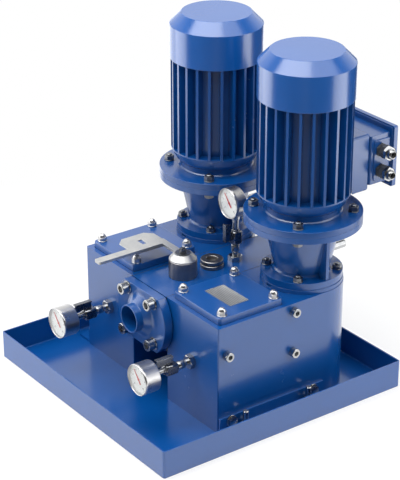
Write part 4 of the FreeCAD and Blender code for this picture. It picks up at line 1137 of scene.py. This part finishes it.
@dataclass
class Fasteners:
    """Cap nuts, lantern nuts, motor bolts, flange screws and socket plugs, each modelled once and copied.

    A socket head's four sizes are its radius and height and its socket's width and depth.
    """

    pump_y: float = 0.1565
    cover_y: float = -0.033
    cover_top: float = 0.2535
    cover_half: float = 0.0645
    cap_flats: float = 0.017
    washer_share: float = 0.6
    washer_height: float = 0.002
    seat: float = 0.0019
    stud_rise: float = 0.003
    lantern_ring: float = 0.073
    lantern_top: float = 0.2625
    lantern_stud: float = 0.005
    lantern_nut: float = 0.008
    motor_ring: float = 0.102
    motor_top: float = 0.3935
    motor_under: float = 0.368
    motor_flats: float = 0.018
    motor_stud: float = 0.006
    motor_nut: float = 0.010
    motor_head: float = 0.012
    flange_half: float = 0.04596
    flange_z: float = 0.179
    flange_faces: Span = (-0.1455, 0.2635)
    flange_washer: Span = (0.0138, 0.003)
    flange_head: Head = (0.012, 0.016, 0.014, 0.008)
    plug_face: float = 0.236
    plug_head: Head = (0.010, 0.013, 0.010, 0.008)
    plug_places: tuple[Span, ...] = ((0.065, 0.222), (0.065, 0.130), (-0.103, 0.176))

    def build(self) -> None:
        """Model and place every kind of fastener."""
        self.build_cap_nuts()
        self.build_lantern_nuts()
        self.build_motor_bolts()
        self.build_flange_screws()
        self.build_side_plugs()

    def build_cap_nuts(self) -> None:
        """Domed nuts on washers at the corners of the square covers."""
        flats = self.cap_flats
        ring = washer(flats * self.washer_share, self.washer_height)
        foot = lifted(hexagon("foot", flats, 0.0078, 0.06, both=True), self.seat)
        cap = turned("cap", [(flats * 0.47, 0.0088), *dome(flats * 0.455, 0.0078, 0.0097)])
        places = at_pumps([(across, self.cover_y + back, self.cover_top)
                           for across, back in corners(self.cover_half)])
        caps = planted("strainer_cap_nuts", joined("cap_model", [ring, foot, cap]), places)
        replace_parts(wear(caps, POLISHED), "cap_nuts")

    def nut(self, flats: float, height: float, stud: float) -> Piece:
        """Nut on its washer with the chamfered stud end standing out of it.

        Args:
            flats: width across the nut's flats.
            height: the nut's height.
            stud: the stud's radius.

        Returns:
            The piece, along +Z from the washer's seat.
        """
        ring = washer(flats * self.washer_share, self.washer_height)
        body = lifted(hexagon("nut", flats, height, both=True), self.seat)
        top = self.washer_height + height + self.stud_rise
        end = turned("end", [(stud, 0.001), (stud, top - 0.001), (stud - 0.001, top)], 24)
        return joined("nut_model", [ring, body, end])

    def ring_places(self, radius: float, height: float) -> list[Place]:
        """Four places on the diagonals about each pump's axis."""
        reach = radius * math.sqrt(0.5)
        return at_pumps([(across, self.pump_y + back, height) for across, back in corners(reach)])

    def build_lantern_nuts(self) -> None:
        """Nuts on the studs that hold each lantern down."""
        model = self.nut(self.cap_flats, self.lantern_nut, self.lantern_stud)
        piece = planted("lantern_stud_nuts", model, self.ring_places(self.lantern_ring, self.lantern_top))
        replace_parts(wear(piece, DULLED), "lantern_nuts")

    def build_motor_bolts(self) -> None:
        """Heads under the lantern's flange and nuts on top of the motor's."""
        model = self.nut(self.motor_flats, self.motor_nut, self.motor_stud)
        nuts = planted("motor_bolt_nuts", model, self.ring_places(self.motor_ring, self.motor_top))
        head = hexagon("head", self.motor_flats, self.motor_head)
        places = self.ring_places(self.motor_ring, self.motor_under)
        heads = planted("motor_bolt_heads", head, places, Axis.DOWN)
        for piece in (nuts, heads):
            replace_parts(wear(piece, DULLED), "motor_bolts")

    def socket_head(self, radius: float, height: float, flats: float, depth: float) -> Piece:
        """Round head with a hexagon socket and softened rims."""
        head = turned("head_model", barrel(radius, 0.0, height, 0.0009), 48)
        return carved(head, lifted(hexagon("socket", flats, depth * 2, 0.0), height - depth))

    def build_flange_screws(self) -> None:
        """Socket screws on washers at the corners of both pipe flanges."""
        for name, axis, y in (("suction", Axis.FRONT, self.flange_faces[0]),
                              ("discharge", Axis.BACK, self.flange_faces[1])):
            radius, height = self.flange_washer
            ring = turned("washer", barrel(radius, 0.0, height, 0.0005), 48)
            head = lifted(self.socket_head(*self.flange_head), height)
            places = [(across, y, self.flange_z + rise) for across, rise in corners(self.flange_half)]
            piece = planted(name + "_screw_heads", joined("screw_model", [ring, head]), places, axis)
            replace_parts(wear(piece, ZINC), "flange_screws")

    def build_side_plugs(self) -> None:
        """Socket plugs in the outer faces of the housings."""
        for side in Side:
            model = self.socket_head(*self.plug_head)
            places = [(side.value * self.plug_face, y, z) for y, z in self.plug_places]
            piece = planted("side_plugs_" + side.word, model, places, side.axis)
            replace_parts(wear(piece, ZINC), "side_plugs")


@dataclass
class Gauge:
    """One pressure gauge on its pipe fitting with a stop valve."""

    word: str
    foot: Place
    axis: Axis
    length: float
    centre: Place
    depth: float
    radius: float = 0.033
    inset: float = 0.005
    wall_flats: float = 0.027
    wall_height: float = 0.012
    socket_flats: float = 0.015
    socket_height: float = 0.008
    valve_half: float = 0.011
    valve_low: float = 0.039
    valve_top: float = 0.069
    first: float = 225.0
    sweep: float = 270.0
    marks: int = 21
    mark_ring: float = 0.0262
    mark_length: float = 0.0020
    numbers: int = 6
    number_ring: float = 0.0205
    number_size: float = 0.0058

    def build(self) -> None:
        """Model the fitting, the case and the dial's print; the pointer and window keep their CAD shape."""
        self.build_fitting()
        self.build_case()
        self.build_dial()
        self.build_print()

    def build_fitting(self) -> None:
        """Hexagon at the wall, neck and union, valve body, and the gauge's own socket."""
        foot = hexagon("foot", self.wall_flats, self.wall_height, 0.12)
        neck = turned("neck", [(0.0062, 0.010), (0.0062, 0.0195), (0.0084, 0.0215), (0.0090, 0.0225),
                               (0.0090, 0.0370), (0.0080, 0.0385), (0.0060, 0.0392)])
        socket = hexagon("socket", self.socket_flats, self.socket_height, 0.08, both=True)
        socket = lifted(socket, self.length - self.socket_height)
        stalk = turned("stalk", [(0.0065, 0.068), (0.0065, self.length - 0.006)], 32)
        half = self.valve_half
        body = block("valve", (-half, -half, self.valve_low), (half, half, self.valve_top), 0.0026)
        collar = turned("collar", barrel(0.0085, 0.036, 0.072, 0.0008), 36)
        for name, parts, finish in (("_gauge_union", [neck, foot, socket, stalk], ZINC),
                                    ("_gauge_valve", [body, collar], VALVE_STEEL)):
            piece = settle(joined(self.word + name, parts), Vector(self.foot), self.axis)
            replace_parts(wear(piece, finish), "gauge_fittings")

    def build_case(self) -> None:
        """Deep cup with a rolled rim round the dial."""
        outer, deep = self.radius, self.depth
        seat = deep - self.inset
        profile = [(0.0100, 0.0), (outer - 0.0035, 0.0), (outer - 0.0012, 0.0010), (outer - 0.0003, 0.0030),
                   (outer - 0.0003, deep - 0.0065), (outer, deep - 0.0060), (outer, deep - 0.0012),
                   (outer - 0.0004, deep - 0.0004), (outer - 0.0010, deep), (outer - 0.0015, deep - 0.0004),
                   (outer - 0.0018, deep - 0.0012), (outer - 0.0018, seat - 0.0012), (0.0100, seat - 0.0012)]
        case = turned(self.word + "_gauge_case", profile, 72)
        back = Vector(self.centre) + deep * Axis.BACK.vector
        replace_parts(wear(settle(case, back, Axis.FRONT), POLISHED), "gauge_cases")

    def build_dial(self) -> None:
        """Thin dial with a stepped edge."""
        radius = self.radius - 0.0019
        profile = [(radius, -0.0016), (radius, -0.0002), (radius - 0.0004, 0.0), (radius - 0.0010, 0.0)]
        dial = turned(self.word + "_gauge_dial", profile, 72)
        face = Vector(self.centre) + self.inset * Axis.BACK.vector
        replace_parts(wear(settle(dial, face, Axis.FRONT), DIAL), "gauge_dials")

    def build_print(self) -> None:
        """Scale of long and short marks with plain numbers."""
        pieces = []
        middle = Vector(self.centre) + (self.inset - 0.00005) * Axis.BACK.vector
        mark = block("mark", (-0.00020, -0.00006, 0.0), (0.00020, 0.00002, self.mark_length), 0.00002)
        step = (self.marks - 1) // (self.numbers - 1) // 2
        for index in range(self.marks):
            turn = math.radians(self.first - 90.0 - self.sweep * index / (self.marks - 1))
            share = 0.8 if index % step else 1.5
            place = (Matrix.Translation(middle) @ Matrix.Rotation(-turn, 4, "Y")
                     @ Matrix.Translation((self.mark_ring - self.mark_length * share) * UP)
                     @ Matrix.Diagonal((share, 1.0, share, 1.0)))
            pieces.append(fixed(copy_of(mark, "mark_copy"), place))
        discard(mark)
        for index in range(self.numbers):
            turn = math.radians(self.first - self.sweep * index / (self.numbers - 1))
            release()
            bpy.ops.object.text_add()
            text = bpy.context.object
            text.data.body = str(index * 2)
            text.data.size = self.number_size
            text.data.align_x, text.data.align_y = "CENTER", "CENTER"
            text.data.extrude = 0.00004
            bpy.ops.object.convert(target="MESH")
            at = middle + self.number_ring * Vector((math.cos(turn), 0.0, math.sin(turn)))
            pieces.append(fixed(text, Matrix.Translation(at) @ Matrix.Rotation(math.radians(90.0), 4, "X")))
        wear(joined(self.word + "_gauge_print", pieces), INK)


@dataclass
class Valve:
    """Change-over valve hub, its lever and the plate that blocks the covers."""

    valve_y: float = -0.0385
    radius: float = 0.0295
    height: float = 0.0385

    def build(self) -> None:
        """Model the hub; the lever, spindle and plate are refined copies."""
        radius, height = self.radius, self.height
        profile = [(radius - 0.0008, 0.0), (radius, 0.0008), (radius, height - 0.0012),
                   (radius - 0.0012, height), (0.014, height)]
        hub = settle(turned("valve_hub", profile, 72), Vector((0.0, self.valve_y, DECK)))
        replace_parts(wear(hub, BLACKED), "valve_bonnet")
        wear(refined("changeover_lever", 0.0007), BRUSHED, "changeover_valve")
        wear(refined("valve_spindle", 0.0005), DULLED, "changeover_valve")
        wear(refined("blocking_plate", 0.0003), BRUSHED, "changeover_valve")


@dataclass
class Trim:
    """Overflow plug, nameplate and leak stubs."""

    plug_y: float = 0.036
    plug_radius: float = 0.025
    plug_height: float = 0.018
    plate_x: Span = (0.108, 0.192)
    plate_y: Span = (-0.062, -0.015)
    plate_z: float = 0.2535
    plate_thick: float = 0.001
    rim_width: float = 0.0012
    rim_height: float = 0.0002
    pin_inset: float = 0.0030

    def build(self) -> None:
        """Model each piece."""
        self.build_plug()
        self.build_nameplate()
        wear(refined("leak_stubs", 0.0006), ZINC)

    def build_plug(self) -> None:
        """Two rings with a groove between them and a cup in the top."""
        radius, top = self.plug_radius, self.plug_height
        profile = [(radius - 0.0010, 0.0), (radius, 0.0010), (radius, 0.0072), (radius - 0.0010, 0.0082),
                   (radius - 0.0030, 0.0084), (radius - 0.0030, 0.0094), (radius - 0.0018, 0.0098),
                   (radius - 0.0010, 0.0108), (radius - 0.0010, top - 0.0012), (radius - 0.0022, top),
                   (0.0125, top), (0.0116, top - 0.0010), (0.0112, top - 0.0085), (0.0060, top - 0.0090)]
        plug = settle(turned("overflow_plug_rings", profile, 72), Vector((0.0, self.plug_y, DECK)))
        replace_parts(wear(plug, BLACKED), "overflow_plug")

    def build_nameplate(self) -> None:
        """Blank ruled plate with a raised rim and a pin at each end."""
        low = (self.plate_x[0], self.plate_y[0], self.plate_z)
        high = (self.plate_x[1], self.plate_y[1], self.plate_z + self.plate_thick)
        plate = block("nameplate_blank", low, high, 0.0002, 2)
        editing(plate, action="DESELECT")
        bpy.ops.object.mode_set(mode="OBJECT")
        for polygon in plate.data.polygons:
            polygon.select = polygon.normal.z > 0.99 and polygon.area > 1e-3
        bpy.ops.object.mode_set(mode="EDIT")
        bpy.ops.mesh.inset(thickness=self.rim_width, depth=0.0)
        bpy.ops.mesh.inset(thickness=self.rim_height, depth=-self.rim_height)
        bpy.ops.object.mode_set(mode="OBJECT")
        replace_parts(wear(plate, PLATE_GREY), "nameplate")
        profile = [(0.0016, -0.0006), (0.0016, 0.0002), (0.0012, 0.0006), (0.0005, 0.0008)]
        ends = (low[0] + self.pin_inset, high[0] - self.pin_inset)
        places = [(x, (low[1] + high[1]) / 2, high[2] - self.rim_height) for x in ends]
        wear(planted("nameplate_pins", turned("pin_model", profile, 20), places), DULLED)


@dataclass
class Carried:
    """CAD nodes whose shape is kept, each with its finish."""

    finishes: dict[str, Finish] = field(default_factory=lambda: {
        "gaskets": SEALING, "strainer_baskets": MACHINED, "pump_inserts": CAST_IRON, "gauge_lenses": GLASS,
    })

    def build(self) -> None:
        """Finish each node, and those that come in pairs or threes."""
        for node, finish in self.finishes.items():
            dress_node(node, finish)
        for side in Side:
            word = side.word
            for node in ("drive_screw_", "motor_rotor_"):
                dress_node(node + word, MACHINED)
            for node in ("coupling_", "fan_"):
                dress_node(node + word, ALLOY)
            for end in ("_front", "_rear"):
                dress_node("idler_screw_" + word + end, MACHINED)
        for place in ("left", "right", "rear"):
            wear(refined("gauge_handle_" + place, 0.0005), VALVE_STEEL, "gauge_valve_" + place)
            dress_node("gauge_pointer_" + place, RED)


def main() -> None:
    """Build the station's pieces in order, then the studio."""
    logging.basicConfig(level=logging.INFO, format="%(name)s: %(message)s")
    gauges = [Gauge(side.word, foot=(side.value * PUMP_X, -0.1235, 0.1315), axis=Axis.FRONT, length=0.0965,
                    centre=(side.value * PUMP_X, -0.258, 0.1315), depth=0.038) for side in Side]
    gauges.append(Gauge("rear", foot=(0.006, 0.0925, DECK), axis=Axis.UP, length=0.102,
                        centre=(0.006, 0.071, 0.374), depth=0.028))
    for assembly in (Tray(), Castings(), Motors(), Fasteners(), *gauges, Valve(), Trim(), Carried()):
        assembly.build()
        LOG.info("%s built", type(assembly).__name__)
    Studio().build()
    release()


if __name__ == "__main__":
    main()
